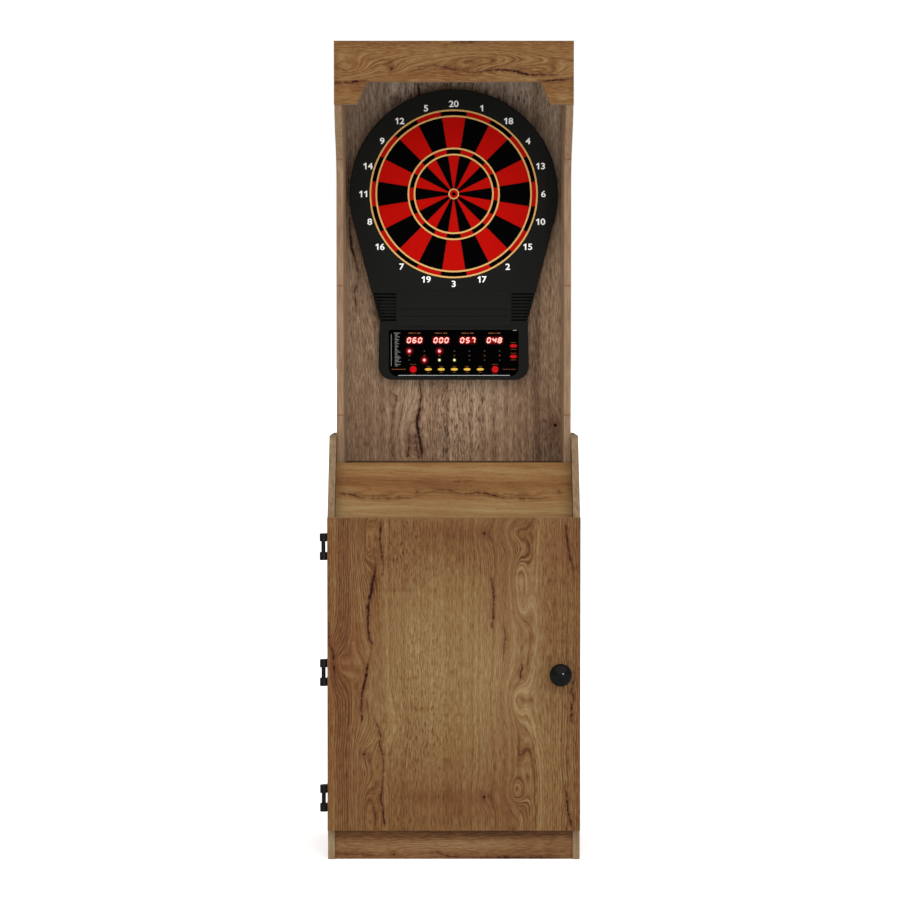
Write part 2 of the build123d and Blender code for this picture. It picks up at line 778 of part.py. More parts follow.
with BuildPart() as hinge_door_screws:
    with Locations(*door_screw_places):
        add(countersunk_screw(3.0, 1.5, 1.5, 14))
save(hinge_door_screws, "hinge_door_screws")

# Each cabinet leaf has a barrel, a stem behind it, and two ears that wrap onto the side panel
with BuildPart() as hinge_cabinet_leaves:
    spine_y = HINGE_Y + KNUCKLE_R + 1.0
    ear_start = BARREL_HALF_HEIGHT + 1.0
    leaf_rear_y = SIDE_FRONT_Y + CABINET_LEAF_WIDTH
    for centre in HINGE_HEIGHTS:
        barrel_bottom = centre - BARREL_HALF_HEIGHT
        with BuildSketch(Plane.XY.offset(barrel_bottom)):
            with Locations((HINGE_X, HINGE_Y)):
                Circle(BARREL_R)
        extrude(amount=2 * BARREL_HALF_HEIGHT)
        board_between(
            (HINGE_X - STEM / 2, HINGE_Y + PIN_R + 0.9, barrel_bottom),
            (HINGE_X + STEM / 2, spine_y + 1, barrel_bottom + 2 * BARREL_HALF_HEIGHT),
        )
        board_between(
            (HINGE_X - STEM / 2, spine_y, centre - LEAF_HALF_HEIGHT),
            (HINGE_X + STEM / 2, spine_y + CABINET_LEAF, centre + LEAF_HALF_HEIGHT),
        )
        for low_z in (centre - LEAF_HALF_HEIGHT, centre + ear_start):
            high_z = low_z + LEAF_HALF_HEIGHT - ear_start
            board_between((HINGE_X, spine_y, low_z), (-WIDTH / 2, spine_y + CABINET_LEAF, high_z))
            board_between(
                (-WIDTH / 2 - CABINET_LEAF, spine_y, low_z), (-WIDTH / 2, leaf_rear_y, high_z)
            )
        with Locations(facing((HINGE_X, HINGE_Y, centre + BARREL_HALF_HEIGHT), (0, 0, 1))):
            Hole(PIN_R + PIN_CLEARANCE, 2 * BARREL_HALF_HEIGHT)
    with Locations(*cabinet_screw_places()):
        CounterSinkHole(1.5 + HOLE_ALLOWANCE, 3.05, 20, counter_sink_angle=90)
save(hinge_cabinet_leaves, "hinge_cabinet_leaves")

with BuildPart() as hinge_cabinet_screws:
    with Locations(*cabinet_screw_places()):
        add(countersunk_screw(3.0, 1.5, 1.5, 14))
save(hinge_cabinet_screws, "hinge_cabinet_screws")

with BuildPart() as hinge_pins:
    half_pin = LEAF_HALF_HEIGHT + 0.3
    pin = turned(
        [
            (0, half_pin),
            (PIN_R - 0.8, half_pin),
            (PIN_R, half_pin - 0.6),
            (PIN_R, 0.6 - half_pin),
            (PIN_R - 0.8, -half_pin),
            (0, -half_pin),
        ]
    )
    with Locations(*[(HINGE_X, HINGE_Y, centre) for centre in HINGE_HEIGHTS]):
        add(pin)
save(hinge_pins, "hinge_pins")

CATCH_FRONT_Y = DOOR_BACK_Y + 1.8
with BuildPart() as magnetic_catch:
    catch_low = (CATCH_X - 23, CATCH_FRONT_Y, STRIKE_Z - 6.5)
    board_between(catch_low, (CATCH_X + 23, CATCH_FRONT_Y + 15, STRIKE_Z + 6.5))
    fillet(magnetic_catch.edges().filter_by(Axis.Y), 2)
save(magnetic_catch, "magnetic_catch")

with BuildPart() as catch_strike_plate:
    strike_low = (CATCH_X - 19, DOOR_BACK_Y, STRIKE_Z - 6)
    board_between(strike_low, (CATCH_X + 19, DOOR_BACK_Y + 1.5, STRIKE_Z + 6))
    fillet(catch_strike_plate.edges().filter_by(Axis.Y), 2)
save(catch_strike_plate, "catch_strike_plate")

with BuildPart() as door_bumpers:
    with Locations(*bumper_places()):
        add(turned([(0, 1.5), (4, 1.5), (5, 0.6), (5, 0), (1.5, 0), (1.5, -5), (0, -5)]))
save(door_bumpers, "door_bumpers")

# ---------------------------------------------------------------- dart board: case
SPEAKER_X = -174.0
SPEAKER_DROP = -300.0
POST_R = 5.0
LOUVRES = 9
LOUVRE_PITCH = 8.7
LOUVRE_TOP = -267.4
LOUVRE_INNER_X = 155.0
LOUVRE_OUTER_X = 257.0
LOUVRE_WIDTH = 4.4
LOUVRE_NOTCH = 1.8
PAD_X = 154.0
PAD_TOP = -260.0
PAD_BOTTOM = -353.0
PAD_RAISE = 3.0
PAD_CORNER = 8.0
GROOVES = (-308.0, -327.0)
GROOVE_WIDTH = 1.8
GROOVE_DEPTH = 2.0
COVER_PLACES = [(side * x, rise) for x, rise in COVER_SCREWS for side in (-1, 1)]
inner_front_y = HOUSING_FRONT_Y + HOUSING_WALL


def louvre_slots():
    """Two banks of level vents that run out past the board's edge."""
    middle_x = (LOUVRE_INNER_X + LOUVRE_OUTER_X) / 2
    drops = [LOUVRE_TOP - count * LOUVRE_PITCH for count in range(LOUVRES)]
    with BuildSketch() as slots:
        with Locations(*[(side * middle_x, drop) for side in (-1, 1) for drop in drops]):
            Rectangle(LOUVRE_OUTER_X - LOUVRE_INNER_X, LOUVRE_WIDTH)
    return slots.sketch


with BuildPart() as board_housing:
    with BuildSketch(front_plane(HOUSING_FRONT_Y)):
        add(housing_outline(0))
    extrude(amount=-(HOUSING_BACK_Y - HOUSING_FRONT_Y))
    front_edges = board_housing.faces().sort_by(Axis.Y)[0].outer_wire().edges()
    fillet(front_edges, 2.5)
    with BuildSketch(front_plane(inner_front_y)):
        add(housing_outline(HOUSING_WALL))
    extrude(amount=-(HOUSING_BACK_Y - inner_front_y), mode=Mode.SUBTRACT)
    # Sleeve around the target, and posts for the cover's screws
    with BuildSketch(front_plane(inner_front_y - 1)):
        Circle(TARGET_R + 4)
        Circle(TARGET_R + 1, mode=Mode.SUBTRACT)
        with Locations(*COVER_PLACES):
            Circle(POST_R)
    extrude(amount=-(HOUSING_BACK_Y - inner_front_y + 1))
    with BuildSketch(front_plane(HOUSING_FRONT_Y)):
        Circle(TARGET_R + 1)
    extrude(amount=-10, mode=Mode.SUBTRACT)
    with Locations(*rear_facing(COVER_PLACES, HOUSING_BACK_Y)):
        Hole(1.5 + HOLE_ALLOWANCE, 20)
    # Raised pad with two shallow grooves, between two banks of vents
    with BuildSketch(front_plane(HOUSING_FRONT_Y)):
        with Locations((0, (PAD_TOP + PAD_BOTTOM) / 2)):
            RectangleRounded(2 * PAD_X, PAD_TOP - PAD_BOTTOM, PAD_CORNER)
    extrude(amount=PAD_RAISE)
    with BuildSketch(front_plane(HOUSING_FRONT_Y - PAD_RAISE)):
        with Locations(*[(0, groove) for groove in GROOVES]):
            Rectangle(2 * (PAD_X - PAD_CORNER), GROOVE_WIDTH)
    extrude(amount=-GROOVE_DEPTH, mode=Mode.SUBTRACT)
    with BuildSketch(front_plane(HOUSING_FRONT_Y)):
        add(louvre_slots())
    extrude(amount=-HOUSING_WALL - 0.5, mode=Mode.SUBTRACT)
    # Each vent also notches the outer edge
    with BuildSketch(front_plane(HOUSING_FRONT_Y)):
        add(louvre_slots())
        add(housing_outline(LOUVRE_NOTCH), mode=Mode.SUBTRACT)
    extrude(amount=-(HOUSING_BACK_Y - HOUSING_FRONT_Y), mode=Mode.SUBTRACT)
    # Pocket for the window, and the opening behind it
    with BuildSketch(front_plane(HOUSING_FRONT_Y)):
        add(window_outline(0))
    extrude(amount=-WINDOW_THICKNESS, mode=Mode.SUBTRACT)
    with BuildSketch(front_plane(HOUSING_FRONT_Y)):
        add(window_outline(WINDOW_LEDGE))
    extrude(amount=-HOUSING_WALL - 1, mode=Mode.SUBTRACT)
save(board_housing, "board_housing")

REAR_COVER = BACKBOARD_Y - HOUSING_BACK_Y
COVER_INSET = LOUVRE_NOTCH + 0.4
with BuildPart() as board_rear_cover:
    with BuildSketch(front_plane(HOUSING_BACK_Y)):
        add(housing_outline(COVER_INSET))
    extrude(amount=-REAR_COVER)
    with BuildSketch(front_plane(HOUSING_BACK_Y)):
        with Locations(*MOUNT_PLACES):
            Circle(6)
    extrude(amount=10)
    with Locations(*rear_facing(MOUNT_PLACES, BACKBOARD_Y)):
        Hole(2.0 + HOLE_ALLOWANCE, 12)
    with Locations(*rear_facing(COVER_PLACES, BACKBOARD_Y)):
        CounterSinkHole(1.5 + HOLE_ALLOWANCE, 3.05, 20, counter_sink_angle=90)
save(board_rear_cover, "board_rear_cover")

with BuildPart() as board_cover_screws:
    with Locations(*rear_facing(COVER_PLACES, BACKBOARD_Y)):
        add(countersunk_screw(3.0, 1.5, 1.5, 16))
save(board_cover_screws, "board_cover_screws")

with BuildPart() as board_mounting_screws:
    with Locations(*rear_facing(MOUNT_PLACES, BACKBOARD_REAR_Y)):
        add(pan_screw(4.5, 2.4, 2.0, BACKBOARD + 11))
save(board_mounting_screws, "board_mounting_screws")

# ---------------------------------------------------------------- dart board: target
CELLS = cell_bounds()
FIRST_ANGLE = 90.0
HALF_COUNT = SECTORS // 2
STEP = 360.0 / SECTORS

with BuildPart() as target_spider:
    with BuildSketch(front_plane(SPIDER_FRONT_Y)):
        Circle(TARGET_R)
        Circle(BULL_RING_INNER, mode=Mode.SUBTRACT)
        for inner, outer in CELLS:
            cell = sector_face(inner, outer, 0)
            with PolarLocations(0, SECTORS, FIRST_ANGLE):
                add(cell, mode=Mode.SUBTRACT)
    extrude(amount=-(SPIDER_BACK_Y - SPIDER_FRONT_Y))
save(target_spider, "target_spider")

RING_RAISE = 1.0
with BuildPart() as target_rings:
    with BuildSketch(front_plane(SPIDER_FRONT_Y)):
        for radius in reversed(RING_RADII):
            Circle(radius + RING_WIDTH / 2)
            Circle(radius - RING_WIDTH / 2, mode=Mode.SUBTRACT)
        Circle(BULL_RING_OUTER)
        Circle(BULL_RING_INNER, mode=Mode.SUBTRACT)
    extrude(amount=RING_RAISE)
save(target_rings, "target_rings")


def segments(rings, parity):
    """Ten segments in each of the given rings of cells; parity picks every other sector."""
    with BuildPart() as group:
        with BuildSketch(front_plane(SEGMENT_FRONT_Y)):
            for inner, outer in rings:
                cell = sector_face(inner, outer, CELL_GAP)
                with PolarLocations(0, HALF_COUNT, FIRST_ANGLE + parity * STEP):
                    add(cell)
        extrude(amount=-(SEGMENT_BACK_Y - SEGMENT_FRONT_Y))
    return group


SINGLES = (CELLS[0], CELLS[2])
MULTIPLIERS = (CELLS[1], CELLS[3])
singles_red = segments(SINGLES, 0)
save(singles_red, "singles_red")
singles_black = segments(SINGLES, 1)
save(singles_black, "singles_black")
multipliers_black = segments(MULTIPLIERS, 0)
save(multipliers_black, "multipliers_black")
multipliers_red = segments(MULTIPLIERS, 1)
save(multipliers_red, "multipliers_red")

with BuildPart() as bull_outer:
    with BuildSketch(front_plane(SEGMENT_FRONT_Y - 0.6)):
        Circle(OUTER_BULL_R)
        Circle(INNER_BULL_R + CELL_GAP, mode=Mode.SUBTRACT)
    extrude(amount=-(SPIDER_BACK_Y - SEGMENT_FRONT_Y + 0.9))
    with BuildSketch(front_plane(SPIDER_BACK_Y + 0.3)):
        Circle(OUTER_BULL_R + 2)
        Circle(INNER_BULL_R + CELL_GAP, mode=Mode.SUBTRACT)
    extrude(amount=-1.5)
save(bull_outer, "bull_outer")

with BuildPart() as bull_inner:
    with BuildSketch(front_plane(SEGMENT_FRONT_Y - 0.6)):
        Circle(INNER_BULL_R)
    extrude(amount=-(SEGMENT_BACK_Y - SEGMENT_FRONT_Y + 0.6))
    chamfer(bull_inner.faces().sort_by(Axis.Y)[0].edges(), 0.5)
save(bull_inner, "bull_inner")

with BuildPart() as sensor_membrane:
    with BuildSketch(front_plane(MEMBRANE_FRONT_Y)):
        Circle(TARGET_R)
    extrude(amount=-MEMBRANE)
save(sensor_membrane, "sensor_membrane")

with BuildPart() as foam_backing:
    foam_front_y = MEMBRANE_FRONT_Y + MEMBRANE
    with BuildSketch(front_plane(foam_front_y)):
        Circle(TARGET_R)
    extrude(amount=-(HOUSING_BACK_Y - foam_front_y))
save(foam_backing, "foam_backing")

# ---------------------------------------------------------------- dart board: console
with BuildPart() as display_window:
    with BuildSketch(front_plane(HOUSING_FRONT_Y)):
        add(window_outline(0.2))
        for name, x, rise, half_width, half_height in BUTTONS:
            with Locations((x, rise)):
                add(button_face(half_width, half_height, BUTTON_CLEARANCE), mode=Mode.SUBTRACT)
    extrude(amount=-WINDOW_THICKNESS)
save(display_window, "display_window")

window_back_y = HOUSING_FRONT_Y + WINDOW_THICKNESS
with BuildPart() as score_displays:
    with BuildSketch(front_plane(window_back_y + 0.5)):
        with Locations(*[(x, DIGIT_ROW) for x in DIGIT_X]):
            Rectangle(54, 26)
    extrude(amount=-(PCB_FRONT_Y - window_back_y - 0.5))
save(score_displays, "score_displays")

with BuildPart() as indicator_leds:
    led_places = [(x, row) for x in LED_X for row in LED_ROWS]
    led_height = PCB_FRONT_Y - window_back_y - 0.5
    led = turned(
        [
            (0, led_height),
            (1.0, led_height),
            (1.8, led_height - 1),
            (1.8, 1),
            (2.3, 1),
            (2.3, 0),
            (0, 0),
        ]
    )
    with Locations(*[facing((x, PCB_FRONT_Y, BULL_Z + row), (0, -1, 0)) for x, row in led_places]):
        add(led)
save(indicator_leds, "indicator_leds")

STEM_R = 3.0
stem_end_y = window_back_y + 8.0
switch_front_y = stem_end_y + BUTTON_TRAVEL + 0.1
with BuildPart() as control_board:
    with BuildSketch(front_plane(PCB_FRONT_Y)):
        add(window_outline(7))
    extrude(amount=-1.6)
    with BuildSketch(front_plane(switch_front_y)):
        with Locations(*[(x, rise) for name, x, rise, half_width, half_height in BUTTONS]):
            Rectangle(6, 6)
    extrude(amount=-(PCB_FRONT_Y - switch_front_y))
save(control_board, "control_board")

with BuildPart() as speaker:
    # Rim, cone basket and magnet
    speaker_shape = [(0, 0), (23, 0), (23, 3), (18, 12), (11, 12), (11, 20), (0, 20)]
    speaker_y = inner_front_y + 0.2
    with Locations(facing((SPEAKER_X, speaker_y, BULL_Z + SPEAKER_DROP), (0, 1, 0))):
        add(turned(speaker_shape))
save(speaker, "speaker")


def button(x, rise, half_width, half_height):
    """Cap that shows through the window, a flange behind it, and a stem to its switch."""
    front_y = HOUSING_FRONT_Y - BUTTON_PROUD
    flange_y = window_back_y + 0.1
    with BuildPart() as cap:
        with BuildSketch(front_plane(front_y)):
            with Locations((x, rise)):
                add(button_face(half_width, half_height, 0))
        extrude(amount=-(flange_y - front_y))
        fillet(cap.faces().sort_by(Axis.Y)[0].edges(), 1.0)
        with BuildSketch(front_plane(flange_y)):
            with Locations((x, rise)):
                add(button_face(half_width, half_height, FLANGE))
        extrude(amount=-FLANGE_THICKNESS)
        with BuildSketch(front_plane(flange_y + FLANGE_THICKNESS)):
            with Locations((x, rise)):
                Circle(STEM_R)
        extrude(amount=-(stem_end_y - flange_y - FLANGE_THICKNESS))
    return cap


for name, x, rise, half_width, half_height in BUTTONS:
    save(button(x, rise, half_width, half_height), name)
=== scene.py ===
"""Looks of the dart board cabinet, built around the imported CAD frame. Metres throughout."""

import random
from math import cos, pi, radians, sin

import bmesh
import bpy
from mathutils import Matrix, Vector


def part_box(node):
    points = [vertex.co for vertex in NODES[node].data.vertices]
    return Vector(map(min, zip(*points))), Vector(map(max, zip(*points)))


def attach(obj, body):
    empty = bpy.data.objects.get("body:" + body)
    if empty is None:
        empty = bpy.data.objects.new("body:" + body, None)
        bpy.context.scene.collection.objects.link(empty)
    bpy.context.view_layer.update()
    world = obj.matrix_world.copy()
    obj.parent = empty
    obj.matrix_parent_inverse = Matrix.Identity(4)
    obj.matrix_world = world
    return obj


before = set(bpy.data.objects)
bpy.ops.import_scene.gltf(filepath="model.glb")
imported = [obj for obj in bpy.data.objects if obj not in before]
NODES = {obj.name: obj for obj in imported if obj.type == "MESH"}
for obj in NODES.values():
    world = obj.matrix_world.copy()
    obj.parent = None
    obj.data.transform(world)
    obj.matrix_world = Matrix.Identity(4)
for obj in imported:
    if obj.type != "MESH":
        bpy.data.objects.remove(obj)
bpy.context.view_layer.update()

X, Y, Z = 0, 1, 2
MM = 0.001


def corner_pair(node):
    """Lowest and highest corner of a CAD node."""
    low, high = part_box(node)
    return Vector(low), Vector(high)


# ------------------------------------------------------------------ places read from the frame
BULL = sum(corner_pair("bull_inner"), Vector()) / 2
WINDOW_LOW, WINDOW_HIGH = corner_pair("display_window")
CASE_FRONT = WINDOW_LOW.y
DOOR_LOW, DOOR_HIGH = corner_pair("door_panel")
SIDE_LOW, SIDE_HIGH = corner_pair("upper_side_right")
SIDE_MIDDLE = (SIDE_LOW.x + SIDE_HIGH.x) / 2


# ------------------------------------------------------------------ shader graphs
def srgb(red, green, blue):
    """Linear colour from 0-255 display values."""
    channels = [c / 255 for c in (red, green, blue)]
    return tuple(c / 12.92 if c <= 0.04045 else ((c + 0.055) / 1.055) ** 2.4 for c in channels) + (1.0,)


class Graph:
    """A material and short names for the shader nodes that build it."""

    def __init__(self, name):
        self.material = bpy.data.materials.new(name)
        self.material.use_nodes = True
        self.tree = self.material.node_tree
        self.tree.nodes.clear()
        self.output = self.node("ShaderNodeOutputMaterial")

    def node(self, kind, **values):
        made = self.tree.nodes.new(kind)
        for key, value in values.items():
            setattr(made, key, value)
        return made

    def feed(self, socket, value):
        """Links a socket to a socket, or stores a plain value in it."""
        if isinstance(value, bpy.types.NodeSocket):
            self.tree.links.new(value, socket)
        elif value is not None:
            socket.default_value = value

    def math(self, operation, *values, clamp=False):
        made = self.node("ShaderNodeMath", operation=operation, use_clamp=clamp)
        for socket, value in zip(made.inputs, values):
            self.feed(socket, value)
        return made.outputs[0]

    def add(self, first, *others):
        for other in others:
            first = self.math("ADD", first, other)
        return first

    def times(self, first, *others):
        for other in others:
            first = self.math("MULTIPLY", first, other)
        return first

    def scale(self, value, factor, shift=0.0):
        return self.math("MULTIPLY_ADD", value, factor, shift)

    def object_axes(self):
        """Object-space x, y and z, which are the row frame's own."""
        place = self.node("ShaderNodeTexCoord")
        parts = self.node("ShaderNodeSeparateXYZ")
        self.feed(parts.inputs[0], place.outputs["Object"])
        return parts.outputs[0], parts.outputs[1], parts.outputs[2]

    def facing_axes(self):
        """Size of the surface normal along x, y and z."""
        place = self.node("ShaderNodeTexCoord")
        parts = self.node("ShaderNodeSeparateXYZ")
        self.feed(parts.inputs[0], place.outputs["Normal"])
        return [self.math("ABSOLUTE", out) for out in parts.outputs]

    def vector(self, x=0.0, y=0.0, z=0.0):
        made = self.node("ShaderNodeCombineXYZ")
        for socket, value in zip(made.inputs, (x, y, z)):
            self.feed(socket, value)
        return made.outputs[0]

    def noise(self, place, scale=1.0, detail=2.0, roughness=0.5, dimensions="3D"):
        made = self.node("ShaderNodeTexNoise", noise_dimensions=dimensions)
        self.feed(made.inputs["W" if dimensions == "1D" else "Vector"], place)
        made.inputs["Scale"].default_value = scale
        made.inputs["Detail"].default_value = detail
        made.inputs["Roughness"].default_value = roughness
        return made.outputs[0]

    def line_noise(self, value, detail=2.0, roughness=0.5):
        """Noise that varies along one number only."""
        return self.noise(value, 1.0, detail, roughness, "1D")

    def ramp(self, value, stops):
        """Colour ramp from (position, colour) stops."""
        made = self.node("ShaderNodeValToRGB")
        elements = made.color_ramp.elements
        while len(elements) > 1:
            elements.remove(elements[-1])
        elements[0].position, elements[0].color = stops[0]
        for position, colour in stops[1:]:
            elements.new(position).color = colour
        self.feed(made.inputs[0], value)
        return made.outputs[0]

    def step(self, value, low, high):
        """0 below low, 1 above high, and smooth between."""
        made = self.node("ShaderNodeMapRange", interpolation_type="SMOOTHSTEP")
        self.feed(made.inputs["Value"], value)
        made.inputs["From Min"].default_value = low
        made.inputs["From Max"].default_value = high
        return made.outputs[0]

    def mix(self, factor, first, second, blend="MIX"):
        made = self.node("ShaderNodeMix", data_type="RGBA", blend_type=blend)
        self.feed(made.inputs[0], factor)
        self.feed(made.inputs[6], first)
        self.feed(made.inputs[7], second)
        return made.outputs[2]

    def stretched(self, axes, per_metre, shifts, detail, roughness=0.5):
        """Noise over axes (across, along, third), with its fineness per metre across and along."""
        across, along, third = axes
        x = self.scale(across, per_metre[0], shifts[0])
        y = self.scale(along, per_metre[1], shifts[1])
        return self.noise(self.vector(x, y, third), 1.0, detail, roughness)

    def bump(self, height, strength, distance):
        made = self.node("ShaderNodeBump")
        made.inputs["Strength"].default_value = strength
        made.inputs["Distance"].default_value = distance
        self.feed(made.inputs["Height"], height)
        return made.outputs[0]

    def surface(self, colour, roughness=0.5, normal=None, metallic=0.0, coat=0.0, specular=0.5):
        """Principled surface; plain numbers stay on its own sockets."""
        made = self.node("ShaderNodeBsdfPrincipled")
        self.feed(made.inputs["Base Color"], colour)
        self.feed(made.inputs["Roughness"], roughness)
        made.inputs["Metallic"].default_value = metallic
        made.inputs["Coat Weight"].default_value = coat
        made.inputs["Specular IOR Level"].default_value = specular
        if normal is not None:
            self.feed(made.inputs["Normal"], normal)
        self.feed(self.output.inputs[0], made.outputs[0])
        return made


# ------------------------------------------------------------------ rustic oak
FACE_PALETTE = [
    (0.0, srgb(44, 22, 12)),
    (0.3, srgb(82, 51, 27)),
    (0.5, srgb(106, 72, 41)),
    (0.75, srgb(123, 97, 64)),
    (1.0, srgb(145, 121, 88)),
]
GREY_PALETTE = [
    (0.0, srgb(52, 36, 26)),
    (0.3, srgb(102, 79, 60)),
    (0.55, srgb(142, 116, 92)),
    (0.8, srgb(176, 150, 122)),
    (1.0, srgb(206, 182, 152)),
]
EDGE_PALETTE = [(0.0, srgb(96, 72, 54)), (0.5, srgb(126, 100, 78)), (1.0, srgb(150, 128, 104))]
CRACK_DARK = srgb(34, 9, 1)
CRACK_THIN = srgb(68, 33, 12)
CRACK_HALO = srgb(70, 34, 19)
RED_STAIN = srgb(106, 62, 38)
OLIVE_CAST = srgb(118, 94, 52)
COOL_TINT = (1.03, 1.17, 1.38, 1.0)

# Fineness of each grain feature, per metre across and along the board
SLOW_BENDS = (3.2, 1.1)
RIPPLES = (16.0, 5.0)
JITTERS = (70.0, 24.0)
DASHES = (300.0, 52.0)
FLECKS = (260.0, 75.0)
PATCHES = (7.0, 3.4)
CASTS = (5.0, 1.4)
EDGE_GRAIN = (130.0, 16.0, 260.0)
FIBRES_ACROSS = 300.0
GROWTH_LINES = 62.0
BROAD_BANDS = 11.0
FIGURE_PERIOD = 0.0062
DEPTH_GRAIN = 150.0

# A crack's course is kept as a colour: its place in the first channel, its width in the second
COURSE_START = -1.2
COURSE_LENGTH = 3.6
COURSE_WIDTH = 0.008
WOBBLES = 46.0
WOBBLE_SIZE = 0.0065
PINCHES = 60.0
THINNEST = 0.00004
DEEP_WIDTHS = (0.0006, 0.0026)
STAIN_WIDTHS = (0.0002, 0.0016)
STAIN_REACH = 0.012


def tinted_palette(palette, tint):
    """Palette with every colour multiplied by a tint."""
    factors = tint + (1.0,)
    return [(place, tuple(c * t for c, t in zip(colour, factors))) for place, colour in palette]


# What a board shows unless it says otherwise. Knots are (across, along, size), a crack is a list of
# (along, across, half width) points, edge ticks are places along the board, and every other list
# holds (across, along, half across, half along, amount).
PLAIN_WOOD = {
    "knots": (),
    "eyes": (),
    "cracks": (),
    "shading": (),
    "figure": (),
    "figure_all": 0.35,
    "rough_grain": (),
    "reds": (),
    "cool": (),
    "contrast": 1.0,
    "sway": 0.045,
    "fibre_gain": 0.62,
    "fibre_along": 34.0,
    "tint": (1.0, 1.0, 1.0),
    "inner_tint": None,
    "edge": True,
    "edge_tint": (1.0, 1.0, 1.0),
    "edge_ticks": (),
}


class Wood:
    """What one board shows: the way its grain runs, its knots and cracks, and its tone, which on some
    boards includes painted light and shade.
    """

    def __init__(self, name, across, along, seed, palette=FACE_PALETTE, **features):
        for feature, value in (PLAIN_WOOD | features).items():
            setattr(self, feature, value)
        self.name = name
        self.across = across
        self.along = along
        self.thick = ({X, Y, Z} - {across, along}).pop()
        self.seed = seed
        self.shift = seed * 11.7
        self.palette = tinted_palette(palette, self.tint)
        self.edge_palette = tinted_palette(EDGE_PALETTE, self.edge_tint)


def bell(g, axes, place):
    """Soft oval bump of height 1: place is (across, along, half across, half along)."""
    across, along, _ = axes
    a0, l0, ra, rl = place
    da = g.scale(across, 1 / ra, -a0 / ra)
    dl = g.scale(along, 1 / rl, -l0 / rl)
    squared = g.add(g.times(da, da), g.times(dl, dl))
    return g.math("EXPONENT", g.times(squared, -1.0))


def bells(g, axes, places, base):
    """Base value plus the given bumps, each (across, along, half across, half along, height)."""
    total = base
    for *place, height in places:
        total = g.math("MULTIPLY_ADD", bell(g, axes, place), height, total)
    return total


def crack_mask(g, wood, axes, line, index):
    """Jagged split along a line of points: its body, how deep it is, and the stain beside it."""
    across, along, _ = axes
    low = min(point[0] for point in line)
    high = max(point[0] for point in line)
    stops = []
    for place, sideways, width in sorted(line):
        course = ((sideways - COURSE_START) / COURSE_LENGTH, width / COURSE_WIDTH, 0, 1)
        stops.append(((place - low) / (high - low), course))
    position = g.scale(along, 1 / (high - low), -low / (high - low))
    course = g.node("ShaderNodeSeparateColor")
    g.feed(course.inputs[0], g.ramp(position, stops))
    centre = g.scale(course.outputs[0], COURSE_LENGTH, COURSE_START)
    width = g.times(course.outputs[1], COURSE_WIDTH)
    seed = wood.seed * 7.3 + index * 3.1
    wobble = g.line_noise(g.scale(along, WOBBLES, seed), 4.0, 0.65)
    pinch = g.line_noise(g.scale(along, PINCHES, seed + 40.0), 3.0, 0.65)
    centre = g.add(centre, g.scale(wobble, WOBBLE_SIZE, -WOBBLE_SIZE / 2))
    width = g.times(width, g.scale(pinch, 2.3, -0.12))
    off = g.math("ABSOLUTE", g.math("SUBTRACT", across, centre))
    reach = g.math("DIVIDE", off, g.math("MAXIMUM", width, THINNEST))
    inside = g.times(g.step(position, -0.002, 0.02), g.step(position, 1.002, 0.98))
    body = g.times(g.step(reach, 1.6, 0.6), inside)
    deep = g.step(width, *DEEP_WIDTHS)
    stain = g.times(g.step(off, STAIN_REACH, 0.0), inside, g.step(width, *STAIN_WIDTHS))
    return body, deep, stain


def growth_phase(g, wood, axes):
    """Place across the board bent by slow waves, and the growth phase, also bent around eyes and knots."""
    shift = wood.shift
    slow = g.stretched(axes, SLOW_BENDS, (shift, shift), 2.0)
    ripple = g.stretched(axes, RIPPLES, (shift, -shift), 2.0)
    jitter = g.stretched(axes, JITTERS, (shift, shift), 2.0)
    bent = g.add(axes[0], g.scale(slow, wood.sway), g.scale(ripple, 0.014), g.scale(jitter, 0.0040))
    phase = bells(g, axes, wood.eyes, g.scale(bent, 1.0, shift))
    for a0, l0, size in wood.knots:
        ring = bell(g, axes, (a0, l0, size * 2.6, size * 4.5))
        phase = g.add(phase, g.times(ring, size * 2.2))
    return bent, phase


def figure_lines(g, phase, growth, drift):
    """Thin dark and thin pale lines that follow the growth phase."""
    turns = g.add(g.scale(phase, 1 / FIGURE_PERIOD), g.scale(growth, 1.1), g.scale(drift, 0.9))
    wave = g.math("COSINE", g.times(turns, 2 * pi))
    dark = g.math("POWER", g.scale(wave, 0.5, 0.5), 4.0)
    pale = g.math("POWER", g.scale(wave, -0.5, 0.5), 6.0)
    return dark, pale


